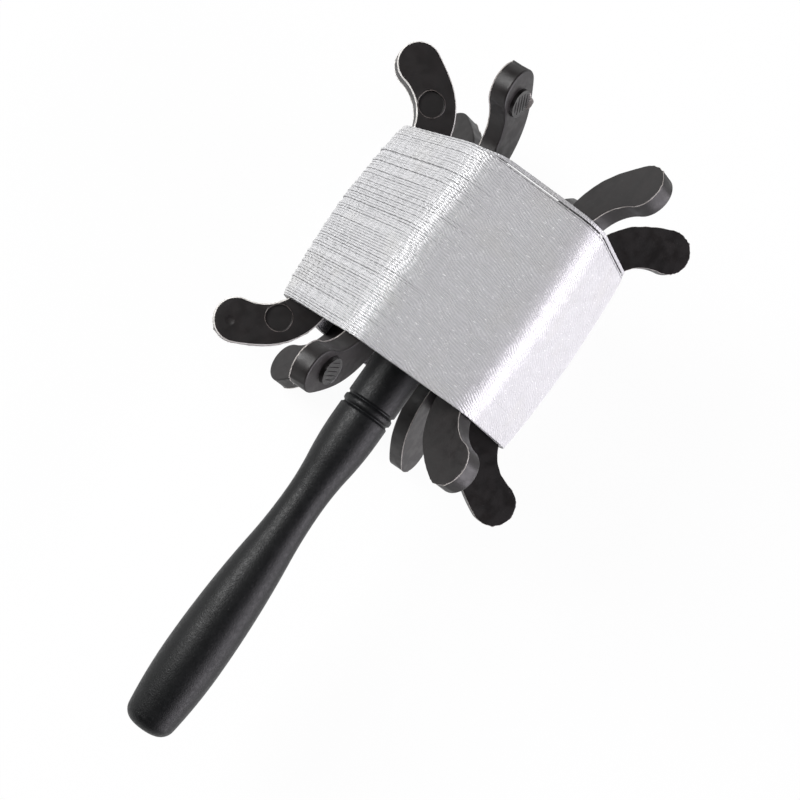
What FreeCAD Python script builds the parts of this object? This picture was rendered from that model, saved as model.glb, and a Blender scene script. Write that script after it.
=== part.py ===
import FreeCAD
import Part

import math
import os

# Kite line winder: six flat horned plates stand round a hexagonal hub and carry a hexagonal
# package of line. The reel turns on a steel spindle that is pressed into a turned grip.
# Millimetres. X runs along the spin axis, from the grip's butt to the far end of the reel.
# Z is up, and the winder lies on the horn tips of its two lower plates.
# The shapes are built about the middle of the reel and moved to the resting place at the end.

# Reel and its plates
PLATE_COUNT = 6
REEL_RADIUS = 50.0
REEL_LENGTH = 99.0
PLATE_THICKNESS = 5.2
SEAT_RADIUS = 34.6
INNER_EDGE_RADIUS = 24.5
TIP_RADIUS = 6.25
THROAT_RADIUS = 12.35
BACK_RADIUS = 50.0
SHOULDER_RADIUS = 21.0
SHOULDER_X = 27.3
LEG_FILLET = 3.0
LEG_INNER_X = 8.0
LEG_OUTER_X = 18.0
PLATE_CHAMFER = 0.4

# Ejector pin marks on one face of each horn: a raised pad beside the tip on the first plates,
# which come from one mould, and a sunk disc under the throat on the others
TIP_MARKED_PLATES = 3
MARK_RADIUS = 3.85
TIP_PAD_HEIGHT = 1.1
THROAT_MARK_DEPTH = 0.5
THROAT_MARK_INSET = 4.25
THROAT_MARK_LEAN = math.radians(-47.6)
TIP_MARK_BACK = 1.65
TIP_MARK_DOWN = 2.35

# Dovetail tongue under each leg
TONGUE_DEPTH = 3.4
TONGUE_NECK_WIDTH = 2.8
TONGUE_BASE_WIDTH = 4.0
SLIDE_CLEARANCE = 0.05

# Hub, its end caps and their screws
HUB_FLAT_RADIUS = 11.5
HUB_LENGTH = 42.0
HUB_BORE_RADIUS = 3.8
CAP_THICKNESS = 3.0
CAP_OVERHANG = 0.3
CAP_CHAMFER = 0.8
CAP_HOLE_CLEARANCE = 0.4
FINGER_GAP = 0.2
SCREWS_PER_CAP = 3
SCREW_CIRCLE_RADIUS = 9.8
SCREW_RADIUS = 1.25
SCREW_LENGTH = 9.0
SCREW_HEAD_RADIUS = 2.3
SCREW_HEAD_HEIGHT = 1.5
SCREW_HEAD_SINK = 0.1
SCREW_CLEARANCE = 0.2

# Spindle, bushes, washers and nut
SPINDLE_RADIUS = 3.0
SPINDLE_IN_GRIP = 50.0
SPINDLE_PAST_NUT = 1.0
SPINDLE_CHAMFER = 0.5
RUNNING_CLEARANCE = 0.08
END_FLOAT = 0.15
FIT_CLEARANCE = 0.02
BUSH_WALL = 1.92
BUSH_LENGTH = 12.0
BUSH_FLANGE_RADIUS = 7.0
BUSH_FLANGE_THICKNESS = 1.5
WASHER_RADIUS = 4.6
WASHER_THICKNESS = 0.85
WASHER_FLANGE_RADIUS = 7.0
WASHER_FLANGE_THICKNESS = 1.0
NUT_ACROSS_FLATS = 10.0
NUT_HEX_HEIGHT = 4.6
NUT_COLLAR_HEIGHT = 1.4
NUT_COLLAR_RADIUS = 4.5
NUT_CHAMFER = 0.6

# Turned grip, as places along the axis from the middle of the reel towards the butt
GRIP_BUTT_X = -148.0
BARREL_GAP = 0.6
BARREL_RADIUS = 7.55
BARREL_CHAMFER = 0.35
GROOVE_X = (-41.0, -43.7)
GROOVE_HALF_WIDTH = 0.65
GROOVE_DEPTH = 0.6
BEAD_RISE = 0.15
GRIP_SHOULDER_X = -48.0
GRIP_WAIST_X = -73.0
GRIP_WAIST_RADIUS = 5.82
GRIP_SWELL_X = -124.0
GRIP_SWELL_RADIUS = 8.7
WAIST_FRONT_BEND = 85.0
WAIST_REAR_BEND = 144.0
HEEL_BEND = 150.0
BUTT_FACE_RADIUS = 3.2
GRIP_BORE_GAP = 0.5

# Package of line: an outer layer of turns over a plain core of the layers below it
CORD_DIAMETER = 2.3
CORD_SIDES = 5
LINE_TURNS = 19
NEAR_TURN_PAST_THROAT = 4.3
FAR_TURN_PAST_THROAT = 2.55
STRAY_TURN_PAST_THROAT = 4.9
CORE_PAST_THROAT = 3.1
LINE_BUILD = 4.6
LINE_LIE_GAP = 0.1
CORNER_ROUNDING = 12.0
CORE_STATIONS = 7
CORD_END_RADIUS = 33.3
CORD_END_RUN = 3.2
CORD_END_BEND = 4.0
CORD_END_SHIFT = 0.4
GAP_SAMPLES = 6

# Worked out from the sizes above
PLATE_STEP = 360.0 / PLATE_COUNT
HALF_STEP = math.radians(PLATE_STEP / 2.0)
HALF_THICKNESS = PLATE_THICKNESS / 2.0
FLAT_HALF_THICKNESS = HALF_THICKNESS - PLATE_CHAMFER
TIP_X = REEL_LENGTH / 2.0 - TIP_RADIUS
TIP_CENTRE_RADIUS = REEL_RADIUS - TIP_RADIUS
THROAT_CENTRE_RADIUS = SEAT_RADIUS + THROAT_RADIUS
THROAT_X = TIP_X - math.sqrt(
    (THROAT_RADIUS + TIP_RADIUS) ** 2 - (THROAT_CENTRE_RADIUS - TIP_CENTRE_RADIUS) ** 2
)
HUB_HALF = HUB_LENGTH / 2.0
HUB_CORNER_RADIUS = HUB_FLAT_RADIUS / math.cos(HALF_STEP)
CAP_RADIUS = HUB_CORNER_RADIUS + CAP_OVERHANG
CAP_FACE_X = HUB_HALF + CAP_THICKNESS
CAP_HOLE_RADIUS = WASHER_RADIUS + CAP_HOLE_CLEARANCE
BUSH_BORE_RADIUS = SPINDLE_RADIUS + RUNNING_CLEARANCE
BUSH_RADIUS = BUSH_BORE_RADIUS + BUSH_WALL
REAR_WASHER_X = -HUB_HALF - END_FLOAT
GRIP_NOSE_X = REAR_WASHER_X - WASHER_THICKNESS
BARREL_X = -CAP_FACE_X - BARREL_GAP
SPINDLE_REAR_X = BARREL_X - SPINDLE_IN_GRIP
FRONT_FLANGE_X = CAP_FACE_X + 2.0 * END_FLOAT
NUT_X = FRONT_FLANGE_X + WASHER_FLANGE_THICKNESS
NUT_END_X = NUT_X + NUT_HEX_HEIGHT + NUT_COLLAR_HEIGHT
SPINDLE_FRONT_X = NUT_END_X + SPINDLE_PAST_NUT
CORD_RADIUS = CORD_DIAMETER / 2.0
CORNER_BEND = CORNER_ROUNDING - CORD_RADIUS
CORD_DROP_AT_EDGE = CORNER_BEND - math.sqrt(CORNER_BEND ** 2 - FLAT_HALF_THICKNESS ** 2)
LINE_MIDDLE_RADIUS = SEAT_RADIUS + LINE_BUILD
LINE_NEAR_X = -(THROAT_X + NEAR_TURN_PAST_THROAT)
LINE_FAR_X = THROAT_X + FAR_TURN_PAST_THROAT
STRAY_TURN_X = THROAT_X + STRAY_TURN_PAST_THROAT
CORE_HALF_LENGTH = THROAT_X + CORE_PAST_THROAT
THROAT_MARK_REACH = THROAT_RADIUS + THROAT_MARK_INSET
THROAT_MARK = (
    THROAT_X + THROAT_MARK_REACH * math.cos(THROAT_MARK_LEAN),
    THROAT_CENTRE_RADIUS + THROAT_MARK_REACH * math.sin(THROAT_MARK_LEAN),
)
TIP_MARK = (TIP_X - TIP_MARK_BACK, TIP_CENTRE_RADIUS - TIP_MARK_DOWN)
FOOT_ANGLE = 1.5 * PLATE_STEP
REST_DROP = REEL_RADIUS * math.cos(HALF_STEP) + FLAT_HALF_THICKNESS * math.sin(HALF_STEP)
FRAME_SHIFT = FreeCAD.Vector(-(REEL_LENGTH / 2.0 + GRIP_BUTT_X) / 2.0, 0.0, REST_DROP)

X_AXIS = FreeCAD.Vector(1.0, 0.0, 0.0)
ORIGIN = FreeCAD.Vector(0.0, 0.0, 0.0)


def outward(angle):
    """Unit vector from the axis towards the plate that stands at this angle."""
    turn = math.radians(angle)
    return FreeCAD.Vector(0.0, -math.cos(turn), math.sin(turn))


def sideways(angle):
    """Unit vector across the plate at this angle, towards the next plate."""
    turn = math.radians(angle)
    return FreeCAD.Vector(0.0, math.sin(turn), math.cos(turn))


def at(x, radius, angle, side=0.0):
    """Point at x, this far out from the axis and this far across the plate."""
    return X_AXIS * x + outward(angle) * radius + sideways(angle) * side


def turned(shape, angle):
    """A copy of a shape drawn at 90 degrees, turned to stand at another angle."""
    copy = shape.copy()
    copy.rotate(ORIGIN, X_AXIS, 90.0 - angle)
    return copy


def plate_angles():
    return [index * PLATE_STEP for index in range(PLATE_COUNT)]


def cylinder(radius, start_x, end_x):
    return Part.makeCylinder(radius, end_x - start_x, X_AXIS * start_x, X_AXIS)


def polygon_prism(points, start_x, end_x):
    """Prism along X on a closed outline given as vectors in the plane x = 0."""
    moved = [point + X_AXIS * start_x for point in points]
    face = Part.Face(Part.makePolygon(moved + moved[:1]))
    return face.extrude(X_AXIS * (end_x - start_x))


def revolved(edges):
    """Solid of revolution about X from a closed chain of edges above the axis."""
    outline = Part.Wire(Part.__sortEdges__(edges))
    return Part.Face(outline).revolve(ORIGIN, X_AXIS, 360.0)


def mirrored(shape):
    return shape.mirror(ORIGIN, X_AXIS)


def drawn(x, radius, side=0.0):
    """Point of an outline drawn in the plate that stands straight up."""
    return FreeCAD.Vector(x, side, radius)


def arc_about(centre, radius, start, end):
    """Arc in the upright plate about a centre, between two directions in radians."""
    points = []
    for angle in (start, (start + end) / 2.0, end):
        points.append(centre + drawn(radius * math.cos(angle), radius * math.sin(angle)))
    return Part.Arc(*points).toShape()


def direction(start, end):
    """Direction in radians of one outline point from another."""
    return math.atan2(end.z - start.z, end.x - start.x)


def back_centre(tip, shoulder):
    """Centre of the long back arc that touches the tip circle and the shoulder arc."""
    to_tip = BACK_RADIUS - TIP_RADIUS
    to_shoulder = BACK_RADIUS - SHOULDER_RADIUS
    base = shoulder.distanceToPoint(tip)
    along = (to_shoulder ** 2 - to_tip ** 2 + base ** 2) / (2.0 * base)
    across = math.sqrt(to_shoulder ** 2 - along ** 2)
    unit = (tip - shoulder) * (1.0 / base)
    normal = FreeCAD.Vector(-unit.z, 0.0, unit.x)
    return shoulder + unit * along + normal * across


def half_outline():
    """Right half of a plate's outline, from the middle of its seat round to its window."""
    throat = drawn(THROAT_X, THROAT_CENTRE_RADIUS)
    tip = drawn(TIP_X, TIP_CENTRE_RADIUS)
    shoulder = drawn(SHOULDER_X, INNER_EDGE_RADIUS + SHOULDER_RADIUS)
    back = back_centre(tip, shoulder)
    leg = drawn(LEG_OUTER_X + LEG_FILLET, INNER_EDGE_RADIUS - LEG_FILLET)
    window = drawn(0.0, INNER_EDGE_RADIUS - LEG_FILLET - LEG_INNER_X)
    throat_end = direction(throat, tip)
    back_start = direction(back, tip)
    back_end = direction(back, shoulder)
    quarter = math.pi / 2.0
    edges = [
        Part.makeLine(drawn(0.0, SEAT_RADIUS), drawn(THROAT_X, SEAT_RADIUS)),
        arc_about(throat, THROAT_RADIUS, -quarter, throat_end),
        arc_about(tip, TIP_RADIUS, throat_end + math.pi, back_start),
        arc_about(back, BACK_RADIUS, back_start, back_end),
        arc_about(shoulder, SHOULDER_RADIUS, back_end, -quarter),
        Part.makeLine(drawn(SHOULDER_X, INNER_EDGE_RADIUS), drawn(leg.x, INNER_EDGE_RADIUS)),
        arc_about(leg, LEG_FILLET, quarter, 2.0 * quarter),
        Part.makeLine(drawn(LEG_OUTER_X, leg.z), drawn(LEG_OUTER_X, HUB_FLAT_RADIUS)),
        Part.makeLine(
            drawn(LEG_OUTER_X, HUB_FLAT_RADIUS), drawn(LEG_INNER_X, HUB_FLAT_RADIUS)
        ),
        Part.makeLine(drawn(LEG_INNER_X, HUB_FLAT_RADIUS), drawn(LEG_INNER_X, window.z)),
        arc_about(window, LEG_INNER_X, 0.0, quarter),
    ]
    return edges


def plate_blank():
    """Square-edged plate with two horns and two legs, standing straight up."""
    edges = half_outline()
    both = edges + [mirrored(edge) for edge in edges]
    outline = Part.Wire(Part.__sortEdges__(both))
    face = Part.Face(outline)
    face.translate(FreeCAD.Vector(0.0, -HALF_THICKNESS, 0.0))
    return face.extrude(FreeCAD.Vector(0.0, PLATE_THICKNESS, 0.0))


def dovetail(start_x, end_x, clearance=0.0):
    """Dovetail bar along X under the upright plate; a clearance makes it a slot."""
    neck = TONGUE_NECK_WIDTH / 2.0 + clearance
    base = TONGUE_BASE_WIDTH / 2.0 + clearance
    low = HUB_FLAT_RADIUS - TONGUE_DEPTH - clearance
    high = HUB_FLAT_RADIUS
    points = [drawn(0.0, low, -base), drawn(0.0, low, base)]
    points += [drawn(0.0, high, neck), drawn(0.0, high, -neck)]
    return polygon_prism(points, start_x, end_x)


def chamfered_plate():
    """Plate with its long edges broken, apart from the feet that stand on the hub."""
    blank = plate_blank()
    picked = []
    for edge in blank.Edges:
        middle = edge.CenterOfMass
        on_face = abs(abs(middle.y) - HALF_THICKNESS) < 1e-6
        on_foot = middle.z < HUB_FLAT_RADIUS + 1e-6
        if on_face and not on_foot:
            picked.append(edge)
    return blank.makeChamfer(PLATE_CHAMFER, picked)


def horn_plate(angle, mark):
    """One horned plate with its tongues and its two pin marks, raised pads or sunk discs."""
    plate = chamfered_plate()
    for side in (-1.0, 1.0):
        near, far = sorted((side * LEG_INNER_X, side * LEG_OUTER_X))
        plate = plate.fuse(dovetail(near, far))
    for side in (-1.0, 1.0):
        start = drawn(side * mark[0], mark[1], -HALF_THICKNESS - TIP_PAD_HEIGHT)
        length = TIP_PAD_HEIGHT + THROAT_MARK_DEPTH
        pin = Part.makeCylinder(MARK_RADIUS, length, start, FreeCAD.Vector(0.0, 1.0, 0.0))
        plate = plate.fuse(pin) if mark == TIP_MARK else plate.cut(pin)
    return turned(plate.removeSplitter(), angle)


def screw_places():
    """Angles of a cap's screws, each on a corner of the hub between two slots."""
    step = 360.0 / SCREWS_PER_CAP
    return [PLATE_STEP / 2.0 + index * step for index in range(SCREWS_PER_CAP)]


def hexagon_points(corner_radius, first_angle):
    return [
        at(0.0, corner_radius, first_angle + index * 60.0) for index in range(6)
    ]


def hub_core():
    """Hexagonal hub with a slot on each flat, two bush seats and the pilot holes."""
    corners = hexagon_points(HUB_CORNER_RADIUS, PLATE_STEP / 2.0)
    hub = polygon_prism(corners, -HUB_HALF, HUB_HALF)
    hub = hub.cut(cylinder(HUB_BORE_RADIUS, -HUB_HALF, HUB_HALF))
    seat_depth = BUSH_LENGTH + BUSH_FLANGE_THICKNESS
    for side in (-1.0, 1.0):
        outer = side * HUB_HALF
        seat = sorted((outer, outer - side * seat_depth))
        rim = sorted((outer, outer - side * BUSH_FLANGE_THICKNESS))
        hub = hub.cut(cylinder(BUSH_RADIUS + FIT_CLEARANCE, *seat))
        hub = hub.cut(cylinder(BUSH_FLANGE_RADIUS + SLIDE_CLEARANCE, *rim))
        pilot_end = CAP_FACE_X - SCREW_HEAD_SINK - SCREW_HEAD_HEIGHT - SCREW_LENGTH
        reach = sorted((outer, side * (pilot_end - SCREW_CLEARANCE)))
        for angle in screw_places():
            pilot = cylinder(SCREW_RADIUS + FIT_CLEARANCE, *reach)
            pilot.translate(outward(angle) * SCREW_CIRCLE_RADIUS)
            hub = hub.cut(pilot)
    for angle in plate_angles():
        hub = hub.cut(turned(dovetail(-HUB_HALF, HUB_HALF, SLIDE_CLEARANCE), angle))
    return hub


def front_hub_cap():
    """Round cap with a finger for each slot, which holds the plates endwise."""
    cap = cylinder(CAP_RADIUS, HUB_HALF, CAP_FACE_X)
    rim = [edge for edge in cap.Edges if edge.CenterOfMass.x > CAP_FACE_X - 1e-6]
    cap = cap.makeChamfer(CAP_CHAMFER, rim)
    for angle in plate_angles():
        cap = cap.fuse(turned(dovetail(LEG_OUTER_X + FINGER_GAP, HUB_HALF), angle))
    cap = cap.cut(cylinder(CAP_HOLE_RADIUS, HUB_HALF, CAP_FACE_X))
    sink = SCREW_HEAD_HEIGHT + SCREW_HEAD_SINK
    for angle in screw_places():
        place = outward(angle) * SCREW_CIRCLE_RADIUS
        hole = cylinder(SCREW_RADIUS + SCREW_CLEARANCE, HUB_HALF, CAP_FACE_X)
        recess = cylinder(SCREW_HEAD_RADIUS + SCREW_CLEARANCE, CAP_FACE_X - sink, CAP_FACE_X)
        cap = cap.cut(hole.fuse(recess).translated(place))
    return cap


def cap_screw(angle):
    """Cheese head screw in a corner of the hub, left plain."""
    head_x = CAP_FACE_X - SCREW_HEAD_SINK
    under_x = head_x - SCREW_HEAD_HEIGHT
    screw = cylinder(SCREW_HEAD_RADIUS, under_x, head_x)
    screw = screw.fuse(cylinder(SCREW_RADIUS, under_x - SCREW_LENGTH, under_x))
    return screw.translated(outward(angle) * SCREW_CIRCLE_RADIUS)


def front_cap_screws():
    return Part.makeCompound([cap_screw(angle) for angle in screw_places()])


def front_bush():
    """Flanged bush pressed into the hub's end, flush with its face."""
    bush = cylinder(BUSH_FLANGE_RADIUS, HUB_HALF - BUSH_FLANGE_THICKNESS, HUB_HALF)
    inner_x = HUB_HALF - BUSH_FLANGE_THICKNESS - BUSH_LENGTH
    bush = bush.fuse(cylinder(BUSH_RADIUS, inner_x, HUB_HALF))
    return bush.cut(cylinder(BUSH_BORE_RADIUS, inner_x, HUB_HALF))


def rear_thrust_washer():
    washer = cylinder(WASHER_RADIUS, GRIP_NOSE_X, REAR_WASHER_X)
    return washer.cut(cylinder(SPINDLE_RADIUS + FIT_CLEARANCE, GRIP_NOSE_X, REAR_WASHER_X))


def front_thrust_washer():
    """Flanged washer that passes through the cap and carries the nut."""
    start_x = HUB_HALF + END_FLOAT
    washer = cylinder(WASHER_RADIUS, start_x, NUT_X)
    washer = washer.fuse(cylinder(WASHER_FLANGE_RADIUS, FRONT_FLANGE_X, NUT_X))
    return washer.cut(cylinder(SPINDLE_RADIUS + FIT_CLEARANCE, start_x, NUT_X))


def lock_nut():
    """Hexagonal nut with its corners broken and a round collar."""
    corner = NUT_ACROSS_FLATS / math.sqrt(3.0)
    hex_end_x = NUT_X + NUT_HEX_HEIGHT
    nut = polygon_prism(hexagon_points(corner, 0.0), NUT_X, hex_end_x)
    blank = cylinder(corner, NUT_X, hex_end_x)
    nut = nut.common(blank.makeChamfer(NUT_CHAMFER, blank.Edges[0:3:2]))
    nut = nut.fuse(cylinder(NUT_COLLAR_RADIUS, hex_end_x, NUT_END_X))
    return nut.cut(cylinder(SPINDLE_RADIUS + FIT_CLEARANCE, NUT_X, NUT_END_X))


def spindle():
    rod = cylinder(SPINDLE_RADIUS, SPINDLE_REAR_X, SPINDLE_FRONT_X)
    ends = [edge for edge in rod.Edges if edge.Closed and len(edge.Vertexes) == 1]
    return rod.makeChamfer(SPINDLE_CHAMFER, ends)


def groove(middle_x):
    """Groove turned in the grip's barrel with a pointed tool, as two edges."""
    start = drawn(middle_x + GROOVE_HALF_WIDTH, BARREL_RADIUS)
    bottom = drawn(middle_x, BARREL_RADIUS - GROOVE_DEPTH)
    end = drawn(middle_x - GROOVE_HALF_WIDTH, BARREL_RADIUS)
    return [Part.makeLine(start, bottom), Part.makeLine(bottom, end)]


def hollow_and_swell(low, high, hollow_bend):
    """Two tangent arcs between a waist and a fuller place, each level at its own end."""
    drop = high.z - low.z
    reach = abs(high.x - low.x)
    total = (reach ** 2 + drop ** 2) / (2.0 * drop)
    hollow = low + drawn(0.0, hollow_bend)
    swell = high - drawn(0.0, total - hollow_bend)
    join = hollow + (swell - hollow) * (hollow_bend / total)
    level = math.pi / 2.0
    lean = direction(hollow, join)
    if lean > 0.0:
        lean -= 2.0 * math.pi
    return [
        arc_about(hollow, hollow_bend, -level, lean),
        arc_about(swell, total - hollow_bend, lean + 2.0 * level, level),
    ]


def heel_edges(swell):
    """Long heel arc and the round edge that meets the flat butt face squarely."""
    heel = swell - drawn(0.0, HEEL_BEND)
    run = swell.x - GRIP_BUTT_X
    rise = BUTT_FACE_RADIUS - heel.z
    edge = (HEEL_BEND ** 2 - run ** 2 - rise ** 2) / (2.0 * (HEEL_BEND - run))
    corner = drawn(GRIP_BUTT_X + edge, BUTT_FACE_RADIUS)
    lean = direction(heel, corner)
    return [
        arc_about(heel, HEEL_BEND, math.pi / 2.0, lean),
        arc_about(corner, edge, lean, math.pi),
    ]


def grip_edges():
    """Closed half profile of the grip, from the nose to the butt and back on the axis."""
    bead_start = drawn(GROOVE_X[0] - GROOVE_HALF_WIDTH, BARREL_RADIUS)
    bead_top = drawn(sum(GROOVE_X) / 2.0, BARREL_RADIUS + BEAD_RISE)
    bead_end = drawn(GROOVE_X[1] + GROOVE_HALF_WIDTH, BARREL_RADIUS)
    neck = drawn(GROOVE_X[1] - GROOVE_HALF_WIDTH, BARREL_RADIUS)
    shoulder = drawn(GRIP_SHOULDER_X, BARREL_RADIUS)
    waist = drawn(GRIP_WAIST_X, GRIP_WAIST_RADIUS)
    swell = drawn(GRIP_SWELL_X, GRIP_SWELL_RADIUS)
    butt = drawn(GRIP_BUTT_X, BUTT_FACE_RADIUS)
    turned_part = [Part.makeLine(neck, shoulder)]
    turned_part += hollow_and_swell(waist, shoulder, WAIST_FRONT_BEND)
    turned_part += hollow_and_swell(waist, swell, WAIST_REAR_BEND)
    turned_part += heel_edges(swell)
    for middle_x in GROOVE_X:
        turned_part += groove(middle_x)
    return turned_part + [
        Part.makeLine(drawn(GRIP_NOSE_X, 0.0), drawn(GRIP_NOSE_X, WASHER_RADIUS)),
        Part.makeLine(drawn(GRIP_NOSE_X, WASHER_RADIUS), drawn(BARREL_X, WASHER_RADIUS)),
        Part.makeLine(
            drawn(BARREL_X, WASHER_RADIUS), drawn(BARREL_X, BARREL_RADIUS - BARREL_CHAMFER)
        ),
        Part.makeLine(
            drawn(BARREL_X, BARREL_RADIUS - BARREL_CHAMFER),
            drawn(BARREL_X - BARREL_CHAMFER, BARREL_RADIUS),
        ),
        Part.makeLine(
            drawn(BARREL_X - BARREL_CHAMFER, BARREL_RADIUS),
            drawn(GROOVE_X[0] + GROOVE_HALF_WIDTH, BARREL_RADIUS),
        ),
        Part.Arc(bead_start, bead_top, bead_end).toShape(),
        Part.makeLine(butt, drawn(GRIP_BUTT_X, 0.0)),
        Part.makeLine(drawn(GRIP_BUTT_X, 0.0), drawn(GRIP_NOSE_X, 0.0)),
    ]


def handle_grip():
    grip = revolved(grip_edges())
    bore_end = SPINDLE_REAR_X - GRIP_BORE_GAP
    return grip.cut(cylinder(SPINDLE_RADIUS + FIT_CLEARANCE, bore_end, GRIP_NOSE_X))


def lying_radius(x):
    """Radius of the cord's centre over a plate, where it bends over the plate's two edges."""
    past = max(abs(x) - THROAT_X, 0.0)
    reach = THROAT_RADIUS - CORD_RADIUS - LINE_LIE_GAP
    return THROAT_CENTRE_RADIUS - math.sqrt(reach ** 2 - past ** 2) + CORD_DROP_AT_EDGE


def package_radius(x):
    """Outer radius of the line over a plate, which bulges towards the middle."""
    end_radius = lying_radius(LINE_NEAR_X) + CORD_RADIUS
    share = (x / LINE_NEAR_X) ** 2
    return LINE_MIDDLE_RADIUS - (LINE_MIDDLE_RADIUS - end_radius) * share


def rounded_hexagon(x, top_radius, rounding):
    """Closed wire with a flat between each two plates and an arc over each plate."""
    centre_radius = top_radius - rounding
    bends = []
    for angle in plate_angles():
        ends = []
        for turn in (-HALF_STEP, 0.0, HALF_STEP):
            out = centre_radius + rounding * math.cos(turn)
            ends.append(at(x, out, angle, rounding * math.sin(turn)))
        bends.append(ends)
    edges = []
    for index, ends in enumerate(bends):
        following = bends[(index + 1) % PLATE_COUNT]
        edges.append(Part.Arc(*ends).toShape())
        edges.append(Part.makeLine(ends[2], following[0]))
    return Part.Wire(edges)


def line_core():
    """The layers under the outer turns, as one ring that lies on the plates' seats."""
    wires = []
    for index in range(CORE_STATIONS):
        x = CORE_HALF_LENGTH * (2.0 * index / (CORE_STATIONS - 1) - 1.0)
        top = package_radius(x) - CORD_DIAMETER
        wires.append(rounded_hexagon(x, top, CORNER_ROUNDING - CORD_DIAMETER))
    core = Part.makeLoft(wires, True, True)
    bore = []
    for angle in plate_angles():
        for side in (-HALF_THICKNESS, HALF_THICKNESS):
            bore.append(at(0.0, SEAT_RADIUS, angle, side))
    core = core.cut(polygon_prism(bore, -CORE_HALF_LENGTH, CORE_HALF_LENGTH))
    for angle in plate_angles():
        core = core.cut(turned(plate_blank(), angle))
    return core


def turn_corner(index):
    """Corner of the cord's path over a plate, where its two flats would meet."""
    angle = FOOT_ANGLE + 90.0 - index * PLATE_STEP
    regular = LINE_TURNS * PLATE_COUNT
    if index > regular:
        x = STRAY_TURN_X
        top = lying_radius(x)
    else:
        x = LINE_NEAR_X + (LINE_FAR_X - LINE_NEAR_X) * index / regular
        top = package_radius(x) - CORD_RADIUS
    corner = top - CORNER_BEND + CORNER_BEND / math.cos(HALF_STEP)
    return at(x, corner, angle)


def cord_end(x, angle, side):
    """End of the cord, square against the side of a plate, and the bend before it."""
    face = side * HALF_THICKNESS
    end = at(x, CORD_END_RADIUS, angle, face)
    return end, at(x, CORD_END_RADIUS, angle, face + side * CORD_END_RUN)


def cord_route():
    """Corners of the whole path and the bend radius wanted at each."""
    first_angle = FOOT_ANGLE + 90.0
    count = LINE_TURNS * PLATE_COUNT + 4
    last_angle = first_angle - count * PLATE_STEP
    start, start_bend = cord_end(LINE_NEAR_X - CORD_END_SHIFT, first_angle + PLATE_STEP, -1.0)
    end, end_bend = cord_end(STRAY_TURN_X + CORD_END_SHIFT, last_angle, 1.0)
    corners = [start, start_bend]
    corners += [turn_corner(index) for index in range(count)]
    corners += [end_bend, end]
    bends = [0.0, CORD_END_BEND] + [CORNER_BEND] * count + [CORD_END_BEND, 0.0]
    return corners, bends


def rounded_path(corners, bends):
    """Edges of straight runs joined by tangent arcs, one arc for each inner corner."""
    edges = []
    last = corners[0]
    for before, corner, after, bend in zip(corners, corners[1:], corners[2:], bends[1:]):
        back = (before - corner).normalize()
        ahead = (after - corner).normalize()
        half = back.getAngle(ahead) / 2.0
        reach = bend / math.tan(half)
        bisector = (back + ahead).normalize()
        middle = corner + bisector * (bend / math.sin(half) - bend)
        edges.append(Part.makeLine(last, corner + back * reach))
        arc = Part.Arc(corner + back * reach, middle, corner + ahead * reach)
        edges.append(arc.toShape())
        last = corner + ahead * reach
    edges.append(Part.makeLine(last, corners[-1]))
    return edges


def least_gap(edges):
    """Least clear distance between one turn of the cord and the next, by sampling."""
    points = []
    for edge in edges:
        span = edge.LastParameter - edge.FirstParameter
        for index in range(GAP_SAMPLES):
            points.append(edge.valueAt(edge.FirstParameter + span * index / GAP_SAMPLES))
    per_turn = 2 * PLATE_COUNT * GAP_SAMPLES
    window = 3 * GAP_SAMPLES
    least = CORD_DIAMETER * LINE_TURNS
    for index, point in enumerate(points):
        near = points[index + per_turn - window:index + per_turn + window]
        for other in near:
            least = min(least, point.distanceToPoint(other) - CORD_DIAMETER)
    return least


def line_turns():
    """Outer layer of line as one unbroken faceted cord, wound round the plates."""
    corners, bends = cord_route()
    edges = rounded_path(corners, bends)
    start = corners[0]
    run = (corners[1] - start).normalize()
    away = X_AXIS.cross(run)
    section = []
    for index in range(CORD_SIDES):
        turn = 2.0 * math.pi * index / CORD_SIDES
        offset = away * math.cos(turn) + X_AXIS * math.sin(turn)
        section.append(start + offset * CORD_RADIUS)
    profile = Part.makePolygon(section + section[:1])
    cord = Part.Wire(edges).makePipeShell([profile], True, False)
    length = sum(edge.Length for edge in edges)
    area = 0.5 * CORD_SIDES * CORD_RADIUS ** 2 * math.sin(2.0 * math.pi / CORD_SIDES)
    print(f"least gap between turns {least_gap(edges):.3f} mm")
    print(f"cord length {length:.0f} mm, volume {cord.Volume:.0f} of {area * length:.0f} mm3")
    return cord


def sub_parts():
    """Every sub-part by node name, about the middle of the reel."""
    shapes = {
        "handle_grip": handle_grip(),
        "spindle": spindle(),
        "rear_thrust_washer": rear_thrust_washer(),
        "front_thrust_washer": front_thrust_washer(),
        "lock_nut": lock_nut(),
        "hub_core": hub_core(),
        "front_bush": front_bush(),
        "rear_bush": mirrored(front_bush()),
        "front_hub_cap": front_hub_cap(),
        "rear_hub_cap": mirrored(front_hub_cap()),
        "front_cap_screws": front_cap_screws(),
        "rear_cap_screws": mirrored(front_cap_screws()),
        "line_core": line_core(),
        "line_turns": line_turns(),
    }
    for index, angle in enumerate(plate_angles()):
        mark = TIP_MARK if index < TIP_MARKED_PLATES else THROAT_MARK
        shapes[f"horn_plate_{index + 1}"] = horn_plate(angle, mark)
    return shapes


def main():
    os.makedirs("parts", exist_ok=True)
    for name, shape in sub_parts().items():
        placed = shape.translated(FRAME_SHIFT)
        placed.exportStep(os.path.join("parts", f"{name}.step"))
        print(f"{name}: {len(placed.Solids)} solid, {placed.Volume:.1f} mm3")


main()
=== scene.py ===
"""Looks of a kite line winder: six horned plates, a package of white line and a turned grip.

Sizes are millimetres unless a name says otherwise. Places are given about the middle of the reel:
x along the spin axis, a radius from it, and an angle that says which plate is meant. They are
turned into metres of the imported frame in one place, the function at().
"""

import logging
import math
from dataclasses import dataclass, field
from enum import Enum

import bmesh
import bpy
from mathutils import Matrix, Vector, noise


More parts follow.
